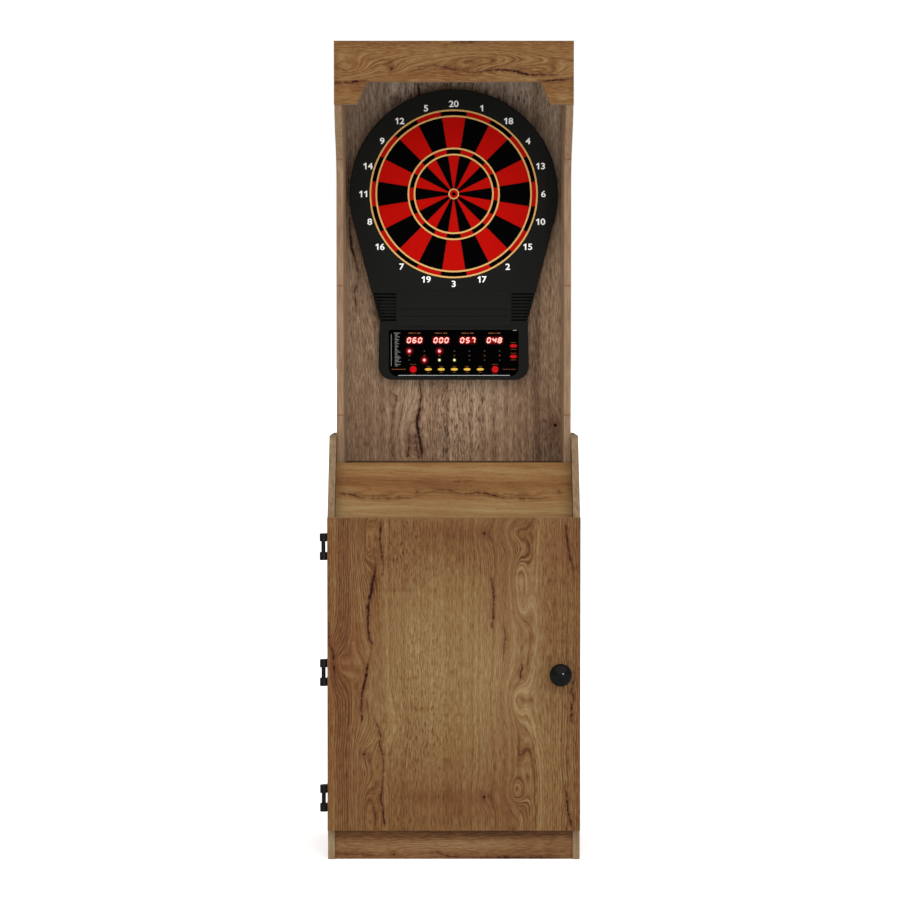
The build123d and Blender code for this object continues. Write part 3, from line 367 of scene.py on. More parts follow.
def grain(g, wood, axes):
    """Lightness of the board, from 0 at the darkest to 1 at the palest."""
    _, along, thick = axes
    shift = wood.shift
    bent, phase = growth_phase(g, wood, axes)
    tilt = g.times(thick, DEPTH_GRAIN)
    growth = g.line_noise(g.times(phase, GROWTH_LINES), 3.0, 0.62)
    band = g.line_noise(g.scale(phase, BROAD_BANDS, 5.0), 2.0, 0.5)
    fibre = g.stretched((phase, along, tilt), (FIBRES_ACROSS, wood.fibre_along), (0.0, 0.0), 3.0, 0.65)
    dash = g.stretched((bent, along, tilt), DASHES, (0.0, 0.0), 2.0, 0.55)
    fleck = g.stretched((bent, along, tilt), FLECKS, (0.0, 0.0), 1.0)
    patch = g.stretched(axes, PATCHES, (shift, shift), 3.0)
    drift = g.line_noise(g.scale(along, 7.0, shift), 2.0)
    dark_line, pale_line = figure_lines(g, phase, growth, drift)
    figure = g.times(bells(g, axes, wood.figure, wood.figure_all), g.scale(patch, 2.2, -0.35))
    figure = g.math("MAXIMUM", figure, 0.0)
    rough = g.times(bells(g, axes, wood.rough_grain, 0.35), g.scale(patch, 1.6, 0.1))

    k = wood.contrast
    pores = g.times(g.step(dash, 0.52, 0.68), rough)
    flecks = g.times(g.step(fleck, 0.50, 0.66), rough)
    value = g.scale(growth, 0.52 * k, 0.52 - 0.26 * k)
    value = g.add(value, g.scale(band, 0.42 * k, -0.21 * k))
    value = g.add(value, g.scale(fibre, wood.fibre_gain * k, -0.5 * wood.fibre_gain * k))
    value = g.add(value, g.scale(patch, 0.36, -0.18))
    value = g.add(value, g.times(pores, -0.30 * k), g.times(flecks, -0.12 * k))
    value = g.add(value, g.times(dark_line, figure, -0.27 * k))
    value = g.add(value, g.times(pale_line, figure, 0.13 * k))
    # Tone bumps of the board; on the hood, plinth and backboard some of them are painted light and shade.
    return bells(g, axes, wood.shading, value)


def cast(g, wood, axes, colour):
    """Colour with a red and olive drift over the whole board, and with its red and cool areas."""
    drift = g.stretched(axes, CASTS, (9.0, wood.shift), 2.0)
    colour = g.mix(g.times(g.step(drift, 0.50, 0.78), 0.26), colour, RED_STAIN)
    colour = g.mix(g.times(g.step(drift, 0.48, 0.22), 0.16), colour, OLIVE_CAST)
    for *place, amount in wood.reds:
        colour = g.mix(g.times(bell(g, axes, place), amount), colour, RED_STAIN)
    for *place, amount in wood.cool:
        cooled = g.mix(1.0, colour, COOL_TINT, "MULTIPLY")
        colour = g.mix(g.times(bell(g, axes, place), amount), colour, cooled)
    return colour


def cracked(g, wood, axes, colour, depth):
    """Colour and depth with the board's cracks, which sink into the surface."""
    for index, line in enumerate(wood.cracks):
        body, deep, stain = crack_mask(g, wood, axes, line, index)
        colour = g.mix(g.times(stain, 0.48), colour, CRACK_HALO)
        strength = g.times(body, g.scale(deep, 0.36, 0.62))
        colour = g.mix(strength, colour, g.mix(deep, CRACK_THIN, CRACK_DARK))
        depth = g.math("SUBTRACT", depth, g.times(body, 0.8))
    return colour, depth


def knotted(g, wood, axes, colour):
    """Colour with the dark, ragged cores of the board's knots."""
    across, along, thick = axes
    for a0, l0, size in wood.knots:
        core = bell(g, axes, (a0, l0, size * 0.50, size * 0.55))
        stain = bell(g, axes, (a0, l0, size * 1.8, size * 1.8))
        ragged = g.noise(g.vector(across, thick, along), 230.0, 3.0, 0.65)
        colour = g.mix(g.times(stain, 0.50), colour, CRACK_HALO)
        colour = g.mix(g.step(g.add(core, g.scale(ragged, 1.3, -0.65)), 0.45, 0.80), colour, CRACK_DARK)
    return colour


def edge_band(g, wood, axes, colour):
    """Colour with the paler band on the board's narrow edges, and the band's faint joints."""
    on_face = g.step(g.facing_axes()[wood.thick], 0.55, 0.65)
    fine = [g.times(axis, size) for axis, size in zip(axes, EDGE_GRAIN)]
    edge_value = g.noise(g.vector(*fine), 1.0, 4.0, 0.6)
    edge_colour = g.ramp(g.scale(edge_value, 1.5, -0.25), wood.edge_palette)
    for place in wood.edge_ticks:
        tick = g.step(g.math("ABSOLUTE", g.math("SUBTRACT", axes[1], place)), 0.0035, 0.0010)
        edge_colour = g.mix(g.times(tick, 0.7), edge_colour, RED_STAIN)
    return g.mix(on_face, edge_colour, colour)


def oak(wood):
    """Rustic oak decor: growth lines bent by knots, pores, splits, and a paler edge band; on some boards,
    painted light on the inner faces.
    """
    g = Graph(wood.name)
    places = g.object_axes()
    axes = places[wood.across], places[wood.along], places[wood.thick]
    value = grain(g, wood, axes)
    colour = cast(g, wood, axes, g.ramp(value, wood.palette))
    colour, depth = cracked(g, wood, axes, colour, g.scale(value, 0.5))
    colour = knotted(g, wood, axes, colour)
    # Painted light on the inner faces of the upper side panels.
    if wood.inner_tint:
        inner = g.step(g.math("ABSOLUTE", axes[2]), SIDE_MIDDLE + 0.002, SIDE_MIDDLE)
        painted_lit = g.mix(1.0, colour, wood.inner_tint + (1.0,), "MULTIPLY")
        colour = g.mix(inner, colour, painted_lit)
    if wood.edge:
        colour = edge_band(g, wood, axes, colour)
    g.surface(colour, g.scale(value, -0.10, 0.62), g.bump(depth, 0.5, 0.0006), specular=0.05)
    return g.material


# ------------------------------------------------------------------ features of the boards
DOOR_CRACKS = [
    [
        (0.885, -0.186, 0.0014), (0.83, -0.190, 0.0019), (0.79, -0.184, 0.0016), (0.755, -0.180, 0.0010),
        (0.738, -0.179, 0.0001), (0.375, -0.210, 0.0001), (0.361, -0.202, 0.0010), (0.344, -0.193, 0.0013),
        (0.322, -0.187, 0.0016), (0.305, -0.193, 0.0014), (0.279, -0.184, 0.0016), (0.249, -0.181, 0.0011),
        (0.206, -0.182, 0.0012), (0.168, -0.188, 0.0018), (0.133, -0.183, 0.0020), (0.082, -0.177, 0.0016),
    ],
    [
        (0.838, -0.207, 0.0002), (0.795, -0.203, 0.0006), (0.755, -0.201, 0.0014), (0.725, -0.207, 0.0029),
        (0.698, -0.212, 0.0034), (0.662, -0.219, 0.0027), (0.604, -0.221, 0.0020), (0.575, -0.217, 0.0020),
        (0.556, -0.209, 0.0011), (0.545, -0.212, 0.0001), (0.525, -0.217, 0.0008), (0.475, -0.226, 0.0027),
        (0.442, -0.234, 0.0024), (0.416, -0.238, 0.0018), (0.369, -0.237, 0.0016), (0.350, -0.236, 0.0001),
        (0.158, -0.205, 0.0001), (0.140, -0.204, 0.0010), (0.110, -0.202, 0.0014), (0.082, -0.202, 0.0012),
    ],
    [
        (0.744, 0.092, 0.0004), (0.725, 0.096, 0.0014), (0.697, 0.1015, 0.0018), (0.660, 0.102, 0.0013),
        (0.639, 0.101, 0.0016), (0.610, 0.0985, 0.0017), (0.597, 0.098, 0.0001), (0.425, -0.226, 0.0001),
        (0.410, -0.223, 0.0010), (0.391, -0.220, 0.0011), (0.356, -0.218, 0.0002),
    ],
    [
        (0.876, 0.286, 0.0012), (0.850, 0.288, 0.0019), (0.801, 0.294, 0.0019), (0.759, 0.3045, 0.0016),
        (0.713, 0.309, 0.0001), (0.508, 0.311, 0.0001), (0.475, 0.311, 0.0010), (0.457, 0.306, 0.0016),
        (0.440, 0.302, 0.0016), (0.416, 0.309, 0.0018), (0.399, 0.302, 0.0016), (0.363, 0.303, 0.0018),
        (0.350, 0.304, 0.0001), (0.207, 0.285, 0.0001), (0.180, 0.288, 0.0016), (0.150, 0.2915, 0.0019),
        (0.125, 0.295, 0.0019), (0.080, 0.305, 0.0018),
    ],
    [
        (0.620, -0.322, 0.0010), (0.560, -0.320, 0.0014), (0.535, -0.309, 0.0018), (0.492, -0.308, 0.0016),
        (0.440, -0.303, 0.0005),
    ],
    [
        (0.634, 0.126, 0.0001), (0.610, 0.128, 0.0007), (0.580, 0.132, 0.0009), (0.560, 0.130, 0.0013),
        (0.535, 0.128, 0.0009), (0.524, 0.127, 0.0001), (0.520, 0.172, 0.0001), (0.500, 0.176, 0.0019),
        (0.478, 0.170, 0.0017), (0.466, 0.171, 0.0001),
    ],
]
DOOR_EYES = [
    (0.158, 0.418, 0.026, 0.052, 0.030),
    (0.160, 0.420, 0.070, 0.130, 0.034),
    (0.165, 0.735, 0.024, 0.060, 0.040),
    (0.172, 0.655, 0.020, 0.045, 0.026),
    (0.165, 0.700, 0.060, 0.150, 0.024),
    (0.160, 0.250, 0.024, 0.110, 0.034),
    (0.155, 0.180, 0.030, 0.035, 0.034),
    (0.150, 0.850, 0.040, 0.040, 0.044),
    (-0.225, 0.830, 0.022, 0.100, 0.034),
    (-0.225, 0.120, 0.022, 0.100, 0.034),
    (-0.222, 0.470, 0.030, 0.110, -0.030),
    (-0.300, 0.510, 0.030, 0.070, 0.030),
    (-0.160, 0.360, 0.050, 0.060, -0.022),
]
DOOR_KNOTS = [(0.078, 0.845, 0.009), (0.078, 0.165, 0.009), (-0.230, 0.276, 0.008)]
DOOR_SHADING = [
    (0.00, 0.49, 0.27, 0.27, 0.19),
    (-0.130, 0.62, 0.045, 0.20, 0.18),
    (-0.140, 0.30, 0.045, 0.16, 0.12),
    (-0.130, 0.86, 0.040, 0.06, 0.10),
    (0.150, 0.52, 0.060, 0.16, 0.12),
    (-0.130, 0.49, 0.050, 0.42, 0.07),
    (-0.31, 0.48, 0.09, 0.80, -0.10),
    (-0.29, 0.40, 0.04, 0.26, -0.05),
    (-0.03, 0.850, 0.10, 0.022, -0.12),
    (-0.03, 0.168, 0.10, 0.022, -0.12),
    (-0.154, 0.699, 0.050, 0.006, -0.10),
    (-0.155, 0.360, 0.036, 0.005, -0.09),
    (-0.205, 0.715, 0.014, 0.045, -0.16),
    (0.02, 0.800, 0.12, 0.050, -0.10),
    (0.02, 0.120, 0.12, 0.050, -0.10),
]
DOOR_FIGURE = [
    (0.165, 0.79, 0.080, 0.10, 0.95),
    (0.165, 0.42, 0.070, 0.12, 0.75),
    (0.165, 0.17, 0.080, 0.10, 0.95),
    (-0.245, 0.80, 0.060, 0.18, 1.4),
    (-0.245, 0.12, 0.060, 0.18, 1.4),
    (-0.285, 0.47, 0.045, 0.18, 1.4),
    (0.290, 0.49, 0.030, 0.50, 0.9),
    (-0.130, 0.47, 0.060, 0.20, 0.5),
]
DOOR_ROUGH = [
    (-0.13, 0.80, 0.07, 0.10, 0.9),
    (-0.08, 0.30, 0.09, 0.12, 0.9),
    (-0.09, 0.50, 0.08, 0.14, 0.5),
    (0.28, 0.60, 0.04, 0.30, 0.5),
]
DOOR_REDS = [
    (-0.29, 0.80, 0.06, 0.10, 0.17),
    (-0.29, 0.50, 0.05, 0.16, 0.26),
    (-0.28, 0.22, 0.06, 0.16, 0.24),
    (0.27, 0.80, 0.03, 0.10, 0.22),
    (0.0, 0.86, 0.14, 0.03, 0.20),
    (0.0, 0.15, 0.14, 0.04, 0.20),
]

HOOD_CRACKS = [
    [
        (-0.108, 2.025, 0.0001), (-0.087, 2.038, 0.0008), (-0.050, 2.044, 0.0010), (-0.022, 2.036, 0.0014),
        (0.011, 2.031, 0.0012), (0.030, 2.027, 0.0008), (0.042, 2.024, 0.0002), (0.056, 2.024, 0.0010),
        (0.085, 2.029, 0.0016), (0.122, 2.0315, 0.0018), (0.159, 2.027, 0.0024), (0.187, 2.019, 0.0022),
        (0.212, 2.017, 0.0018), (0.240, 2.0185, 0.0012), (0.265, 2.0205, 0.0010), (0.272, 2.021, 0.0001),
    ],
    [
        (-0.312, 1.998, 0.0014), (-0.269, 1.999, 0.0016), (-0.250, 2.0015, 0.0020), (-0.232, 2.002, 0.0016),
        (-0.216, 2.0025, 0.0004),
    ],
    [
        (0.205, 2.002, 0.0002), (0.235, 2.0025, 0.0018), (0.255, 2.0035, 0.0022), (0.270, 2.006, 0.0018),
        (0.297, 2.0065, 0.0012), (0.312, 2.006, 0.0008),
    ],
    [(-0.10, 2.102, 0.0001), (-0.075, 2.103, 0.0008), (-0.050, 2.103, 0.0001)],
    [
        (-0.040, 2.0915, 0.0001), (-0.025, 2.093, 0.0008), (-0.005, 2.100, 0.0009), (0.044, 2.103, 0.0016),
        (0.09, 2.103, 0.0001),
    ],
    [(-0.309, 2.042, 0.0008), (-0.285, 2.031, 0.0008), (-0.255, 2.020, 0.0001)],
    [(-0.309, 2.010, 0.0008), (-0.285, 2.014, 0.0006), (-0.250, 2.019, 0.0001)],
    [(0.128, 2.042, 0.0001), (0.170, 2.036, 0.0008), (0.235, 2.021, 0.0006), (0.26, 2.019, 0.0001)],
    [(-0.150, 2.046, 0.0001), (-0.159, 2.034, 0.0016), (-0.166, 2.024, 0.0001)],
]
HOOD_EYES = [
    (2.030, -0.280, 0.030, 0.075, 0.050),
    (2.026, 0.190, 0.024, 0.120, 0.045),
    (2.060, 0.060, 0.030, 0.150, -0.040),
]
HOOD_KNOTS = [(2.034, -0.159, 0.007)]
HOOD_TONE_AND_EDGE_SHADE = [
    (1.962, -0.28, 0.030, 0.05, 0.18),
    (1.962, 0.28, 0.030, 0.05, 0.18),
    (2.005, 0.0, 0.008, 0.60, 0.10),
    # Painted shade: these two rows draw a dark line down the fascia's left and right edges.
    (2.030, -0.309, 1.0, 0.0028, -0.24),
    (2.030, 0.309, 1.0, 0.0028, -0.24),
]
HOOD_FIGURE = [(2.045, -0.20, 0.03, 0.10, 0.6), (2.045, 0.12, 0.03, 0.14, 0.5)]

APRON_CRACKS = [
    [
        (-0.306, 0.942, 0.0006), (-0.280, 0.941, 0.0013), (-0.258, 0.937, 0.0017), (-0.243, 0.931, 0.0008),
        (-0.225, 0.929, 0.0006), (-0.199, 0.929, 0.0010), (-0.150, 0.930, 0.0009), (-0.123, 0.931, 0.0008),
        (-0.105, 0.933, 0.0006), (-0.069, 0.943, 0.0005), (-0.038, 0.952, 0.0008), (-0.006, 0.948, 0.0011),
        (0.020, 0.941, 0.0006), (0.034, 0.941, 0.0009), (0.065, 0.944, 0.0013), (0.090, 0.941, 0.0018),
        (0.105, 0.937, 0.0017), (0.123, 0.931, 0.0008), (0.160, 0.929, 0.0008), (0.200, 0.929, 0.0012),
        (0.240, 0.930, 0.0006), (0.262, 0.931, 0.0001),
    ],
    [(-0.006, 0.971, 0.0002), (0.010, 0.972, 0.0009), (0.045, 0.975, 0.0008), (0.060, 0.975, 0.0001)],
    [(-0.306, 0.973, 0.0004), (-0.20, 0.974, 0.0005), (-0.08, 0.974, 0.0004), (0.02, 0.973, 0.0001)],
    [(-0.245, 0.939, 0.0001), (-0.220, 0.936, 0.0006), (-0.180, 0.937, 0.0006), (-0.150, 0.938, 0.0001)],
    [(0.120, 0.942, 0.0001), (0.150, 0.938, 0.0006), (0.190, 0.937, 0.0006), (0.215, 0.938, 0.0001)],
]
APRON_EYES = [
    (0.936, -0.220, 0.014, 0.070, 0.030),
    (0.936, 0.150, 0.014, 0.070, 0.030),
    (0.950, 0.0, 0.020, 0.20, 0.020),
]
APRON_KNOTS = [(0.946, -0.095, 0.004), (0.946, 0.274, 0.004)]
APRON_SHADING = [
    (0.966, 0.0, 0.012, 0.60, -0.09),
    (0.938, 0.0, 0.008, 0.60, -0.07),
    (0.982, 0.0, 0.006, 0.60, -0.05),
    (1.012, 0.0, 0.010, 0.60, 0.02),
    (0.895, 0.0, 0.028, 0.60, 0.12),
]
APRON_REDS = [(0.964, 0.0, 0.014, 0.70, 0.26), (1.000, -0.05, 0.020, 0.30, 0.12)]

PLINTH_CRACKS = [
    [(-0.07, 0.016, 0.0002), (-0.05, 0.018, 0.0012), (-0.01, 0.006, 0.0014), (0.05, 0.003, 0.0001)],
    [(0.04, 0.002, 0.0006), (0.12, 0.003, 0.0016), (0.20, 0.002, 0.0016), (0.28, 0.004, 0.0006)],
    [(-0.31, 0.014, 0.0009), (-0.25, 0.012, 0.0010), (-0.20, 0.008, 0.0006), (-0.15, 0.014, 0.0001)],
]
PLINTH_KNOTS = [(0.012, -0.155, 0.006)]
# Painted shadow: the first row darkens the plinth's top, where the door above shades it; the other two rows
# lighten two patches lower down.
PLINTH_TONE_AND_DOOR_SHADOW = [
    (0.074, 0.0, 0.022, 0.60, -0.26),
    (0.036, 0.06, 0.014, 0.16, 0.14),
    (0.028, -0.20, 0.010, 0.12, 0.10),
]

BACK_CRACKS = [
    [
        (1.020, -0.084, 0.0022), (1.063, -0.090, 0.0026), (1.106, -0.098, 0.0038), (1.123, -0.099, 0.0036),
        (1.158, -0.092, 0.0020), (1.184, -0.088, 0.0015), (1.231, -0.092, 0.0012), (1.260, -0.095, 0.0001),
        (1.930, -0.100, 0.0001), (1.960, -0.094, 0.0018), (2.000, -0.092, 0.0019), (2.050, -0.098, 0.0009),
    ],
    [
        (1.370, -0.276, 0.0002), (1.420, -0.262, 0.0010), (1.470, -0.268, 0.0015), (1.510, -0.255, 0.0009),
        (1.545, -0.262, 0.0014), (1.600, -0.277, 0.0029), (1.650, -0.280, 0.0015), (1.680, -0.282, 0.0002),
    ],
    [(1.690, -0.284, 0.0002), (1.790, -0.283, 0.0009), (1.86, -0.280, 0.0002)],
    [(1.020, -0.092, 0.0010), (1.050, -0.100, 0.0014), (1.080, -0.103, 0.0010), (1.100, -0.104, 0.0001)],
    [
        (1.025, -0.124, 0.0016), (1.045, -0.122, 0.0016), (1.070, -0.120, 0.0012), (1.085, -0.123, 0.0009),
        (1.100, -0.125, 0.0001),
    ],
    [
        (1.035, -0.180, 0.0002), (1.068, -0.173, 0.0006), (1.088, -0.169, 0.0006), (1.128, -0.165, 0.0007),
        (1.162, -0.161, 0.0008), (1.176, -0.153, 0.0012), (1.190, -0.155, 0.0011), (1.200, -0.167, 0.0007),
        (1.212, -0.175, 0.0002),
    ],
    [
        (1.025, -0.165, 0.0008), (1.049, -0.161, 0.0007), (1.088, -0.151, 0.0006), (1.124, -0.145, 0.0007),
        (1.148, -0.139, 0.0008), (1.184, -0.132, 0.0006), (1.204, -0.133, 0.0005), (1.224, -0.149, 0.0002),
    ],
    [(1.025, 0.290, 0.0004), (1.061, 0.280, 0.0006), (1.084, 0.260, 0.0005), (1.108, 0.242, 0.0001)],
    [(1.110, 0.241, 0.0001), (1.124, 0.248, 0.0005), (1.134, 0.268, 0.0004), (1.150, 0.282, 0.0002)],
]
BACK_EYES = [
    (-0.120, 1.090, 0.026, 0.070, 0.040),
    (-0.170, 1.800, 0.030, 0.110, 0.030),
    (-0.235, 1.500, 0.040, 0.160, 0.035),
    (0.275, 1.112, 0.032, 0.045, -0.035),
    (-0.180, 1.990, 0.030, 0.080, 0.030),
    (0.100, 1.990, 0.030, 0.080, 0.030),
]
BACK_KNOTS = [(0.275, 1.112, 0.012)]
BACK_TONE_AND_PAINTED_LIGHT = [
    (0.02, 1.20, 0.12, 0.30, 0.15),
    # Painted light: lightens the top of the backboard, under the hood, where the hood's shade falls.
    (0.0, 2.02, 0.60, 0.07, 0.20),
    # Painted light: the next two rows lighten the upper left and right against the hood's shade.
    (-0.26, 1.65, 0.08, 0.40, 0.10),
    (0.26, 1.75, 0.08, 0.30, 0.08),
    (-0.24, 1.15, 0.10, 0.22, 0.02),
    (0.24, 1.15, 0.10, 0.22, -0.08),
    # Painted shade: darkens the backboard's foot above the deck.
    (0.0, 1.04, 0.60, 0.05, -0.08),
    (0.0, 1.13, 0.16, 0.05, -0.07),
]
BACK_REDS = [
    (-0.23, 1.12, 0.06, 0.14, 0.30),
    (-0.122, 1.05, 0.014, 0.040, 0.45),
    (0.10, 1.06, 0.030, 0.06, 0.30),
    (0.17, 1.10, 0.05, 0.10, 0.28),
    (0.29, 1.12, 0.03, 0.08, 0.20),
]
BACK_COOL = [(0.0, 2.03, 0.60, 0.14, 0.9), (0.0, 1.80, 0.60, 0.18, 0.4)]
BACK_ROUGH = [
    (0.01, 1.12, 0.09, 0.16, 1.3),
    (-0.25, 1.50, 0.08, 0.40, 0.4),
    (-0.06, 2.00, 0.12, 0.06, 1.5),
    (0.14, 1.98, 0.10, 0.06, 1.1),
]

BASE_EDGE_TINT = (0.86, 0.92, 0.84)
UPPER_EDGE_TINT = (0.95, 0.95, 0.92)
# Painted light: the inner faces of the upper side panels are lightened, since facing sideways they get less
# light.
UPPER_INNER_PAINTED_LIGHT = (1.45, 1.45, 1.45)
# Heights of the faint joints in the edge band of the upper side panels
EDGE_TICKS = (1.144, 1.483, 1.811)


# ------------------------------------------------------------------ other materials
def moulded(name, colour, roughness, grain=900.0, bump=0.12, coat=0.0, specular=0.5):
    """Moulded plastic: fine eroded texture, uneven sheen and a slight drift of colour."""
    g = Graph(name)
    place = g.vector(*g.object_axes())
    fine = g.noise(place, grain, 2.0, 0.6)
    broad = g.noise(place, 9.0, 2.0)
    shade = g.mix(g.scale(broad, 0.5), colour, faded(colour, 0.82))
    rough = g.add(g.scale(fine, 0.10, roughness - 0.05), g.scale(broad, 0.08, -0.04))
    g.surface(shade, rough, g.bump(fine, bump, 0.0002), coat=coat, specular=specular)
    return g.material


def metal(name, colour, roughness, metallic=1.0, grain=(600.0, 600.0, 600.0), bump=0.1, specular=0.5):
    """Metal or painted metal with fine brushing or orange peel."""
    g = Graph(name)
    x, y, z = g.object_axes()
    place = g.vector(*(g.times(axis, size) for axis, size in zip((x, y, z), grain)))
    fine = g.noise(place, 1.0, 2.0, 0.6)
    worn = g.noise(g.vector(x, y, z), 40.0, 3.0)
    shade = g.mix(g.scale(worn, 0.35), colour, faded(colour, 0.7))
    rough = g.add(g.scale(fine, 0.16, roughness - 0.08), g.scale(worn, 0.08, -0.04))
    g.surface(shade, rough, g.bump(fine, bump, 0.0002), metallic=metallic, specular=specular)
    return g.material


HOLE_PITCH = 3.2 * MM


def segment_plastic(name, colour, specular):
    """Satin segment plastic pitted with dart-tip holes on a square grid; the holes are darkened with
    painted shade.
    """
    g = Graph(name)
    x, y, z = g.object_axes()
    holes = g.node("ShaderNodeTexVoronoi", voronoi_dimensions="2D")
    holes.inputs["Scale"].default_value = 1 / HOLE_PITCH
    holes.inputs["Randomness"].default_value = 0.0
    g.feed(holes.inputs["Vector"], g.vector(x, z, 0.0))
    faces = g.facing_axes()
    front = g.step(faces[1], 0.8, 0.9)
    hole = g.times(g.step(holes.outputs["Distance"], 0.30, 0.22), front)
    broad = g.noise(g.vector(x, y, z), 14.0, 2.0)
    shade = g.mix(g.scale(broad, 0.3), colour, faded(colour, 0.85))
    # Painted shade: each hole is darkened, as the holes are only bumped, not cut.
    shade = g.mix(g.times(hole, 0.22), shade, srgb(10, 4, 4))
    rough = g.scale(broad, 0.10, 0.50)
    g.surface(shade, rough, g.bump(g.times(hole, -1.0), 0.25, 0.0004), specular=specular)
    return g.material


def faded(colour, share):
    """Colour multiplied by a share, with its last channel kept at 1."""
    return tuple(c * share for c in colour[:3]) + (1.0,)


def glowing(name, colour, strength):
    """Lit display plastic with a slightly uneven glow."""
    g = Graph(name)
    place = g.vector(*g.object_axes())
    uneven = g.noise(place, 220.0, 2.0)
    shader = g.surface((0.02, 0.002, 0.002, 1.0), 0.35)
    brighter = tuple(min(1.0, c * 1.25) for c in colour[:3]) + (1.0,)
    hot = g.mix(g.scale(uneven, 0.7), colour, brighter)
    g.feed(shader.inputs["Emission Color"], hot)
    shader.inputs["Emission Strength"].default_value = strength
    return g.material


def halo(name, colour, strength, power, core=(0.0, 0.0)):
    """Glow that is even over a core and fades to nothing one reach beyond it; the map is in reaches."""
    g = Graph(name)
    place = g.node("ShaderNodeUVMap")
    parts = g.node("ShaderNodeSeparateXYZ")
    g.feed(parts.inputs[0], place.outputs[0])
    squares = []
    for axis, half in zip(parts.outputs, core):
        beyond = g.math("MAXIMUM", g.math("SUBTRACT", g.math("ABSOLUTE", axis), half), 0.0)
        squares.append(g.times(beyond, beyond))
    fade = g.math("SUBTRACT", 1.0, g.math("SQRT", g.add(*squares)), clamp=True)
    glow = g.math("POWER", fade, power)
    shader = g.surface((0.001, 0.001, 0.001, 1.0), 0.12, specular=0.006)
    g.feed(shader.inputs["Emission Color"], g.mix(glow, (0.0, 0.0, 0.0, 1.0), colour))
    shader.inputs["Emission Strength"].default_value = strength
    return g.material


def foam_material(name):
    """Open-cell foam."""
    g = Graph(name)
    place = g.vector(*g.object_axes())
    cells = g.node("ShaderNodeTexVoronoi")
    cells.inputs["Scale"].default_value = 700.0
    g.feed(cells.inputs["Vector"], place)
    shade = g.mix(g.step(cells.outputs["Distance"], 0.2, 0.6), srgb(30, 30, 32), srgb(70, 70, 72))
    g.surface(shade, 0.95, g.bump(cells.outputs["Distance"], 0.5, 0.0008))
    return g.material


def circuit_material(name):
    """Green solder mask with faint tracks."""
    g = Graph(name)
    x, y, z = g.object_axes()
    tracks = g.node("ShaderNodeTexBrick")
    tracks.inputs["Scale"].default_value = 90.0
    tracks.inputs["Mortar Size"].default_value = 0.03
    g.feed(tracks.inputs["Vector"], g.vector(x, z, y))
    tracks.inputs["Color1"].default_value = srgb(24, 92, 52)
    tracks.inputs["Color2"].default_value = srgb(28, 100, 58)
    tracks.inputs["Mortar"].default_value = srgb(60, 130, 84)
    g.surface(tracks.outputs[0], 0.35)
    return g.material


# ------------------------------------------------------------------ dressing the CAD nodes
def dress(names, material):
    """Puts one material on each named CAD node."""
    for name in names:
        data = NODES[name].data
        data.materials.clear()
        data.materials.append(material)


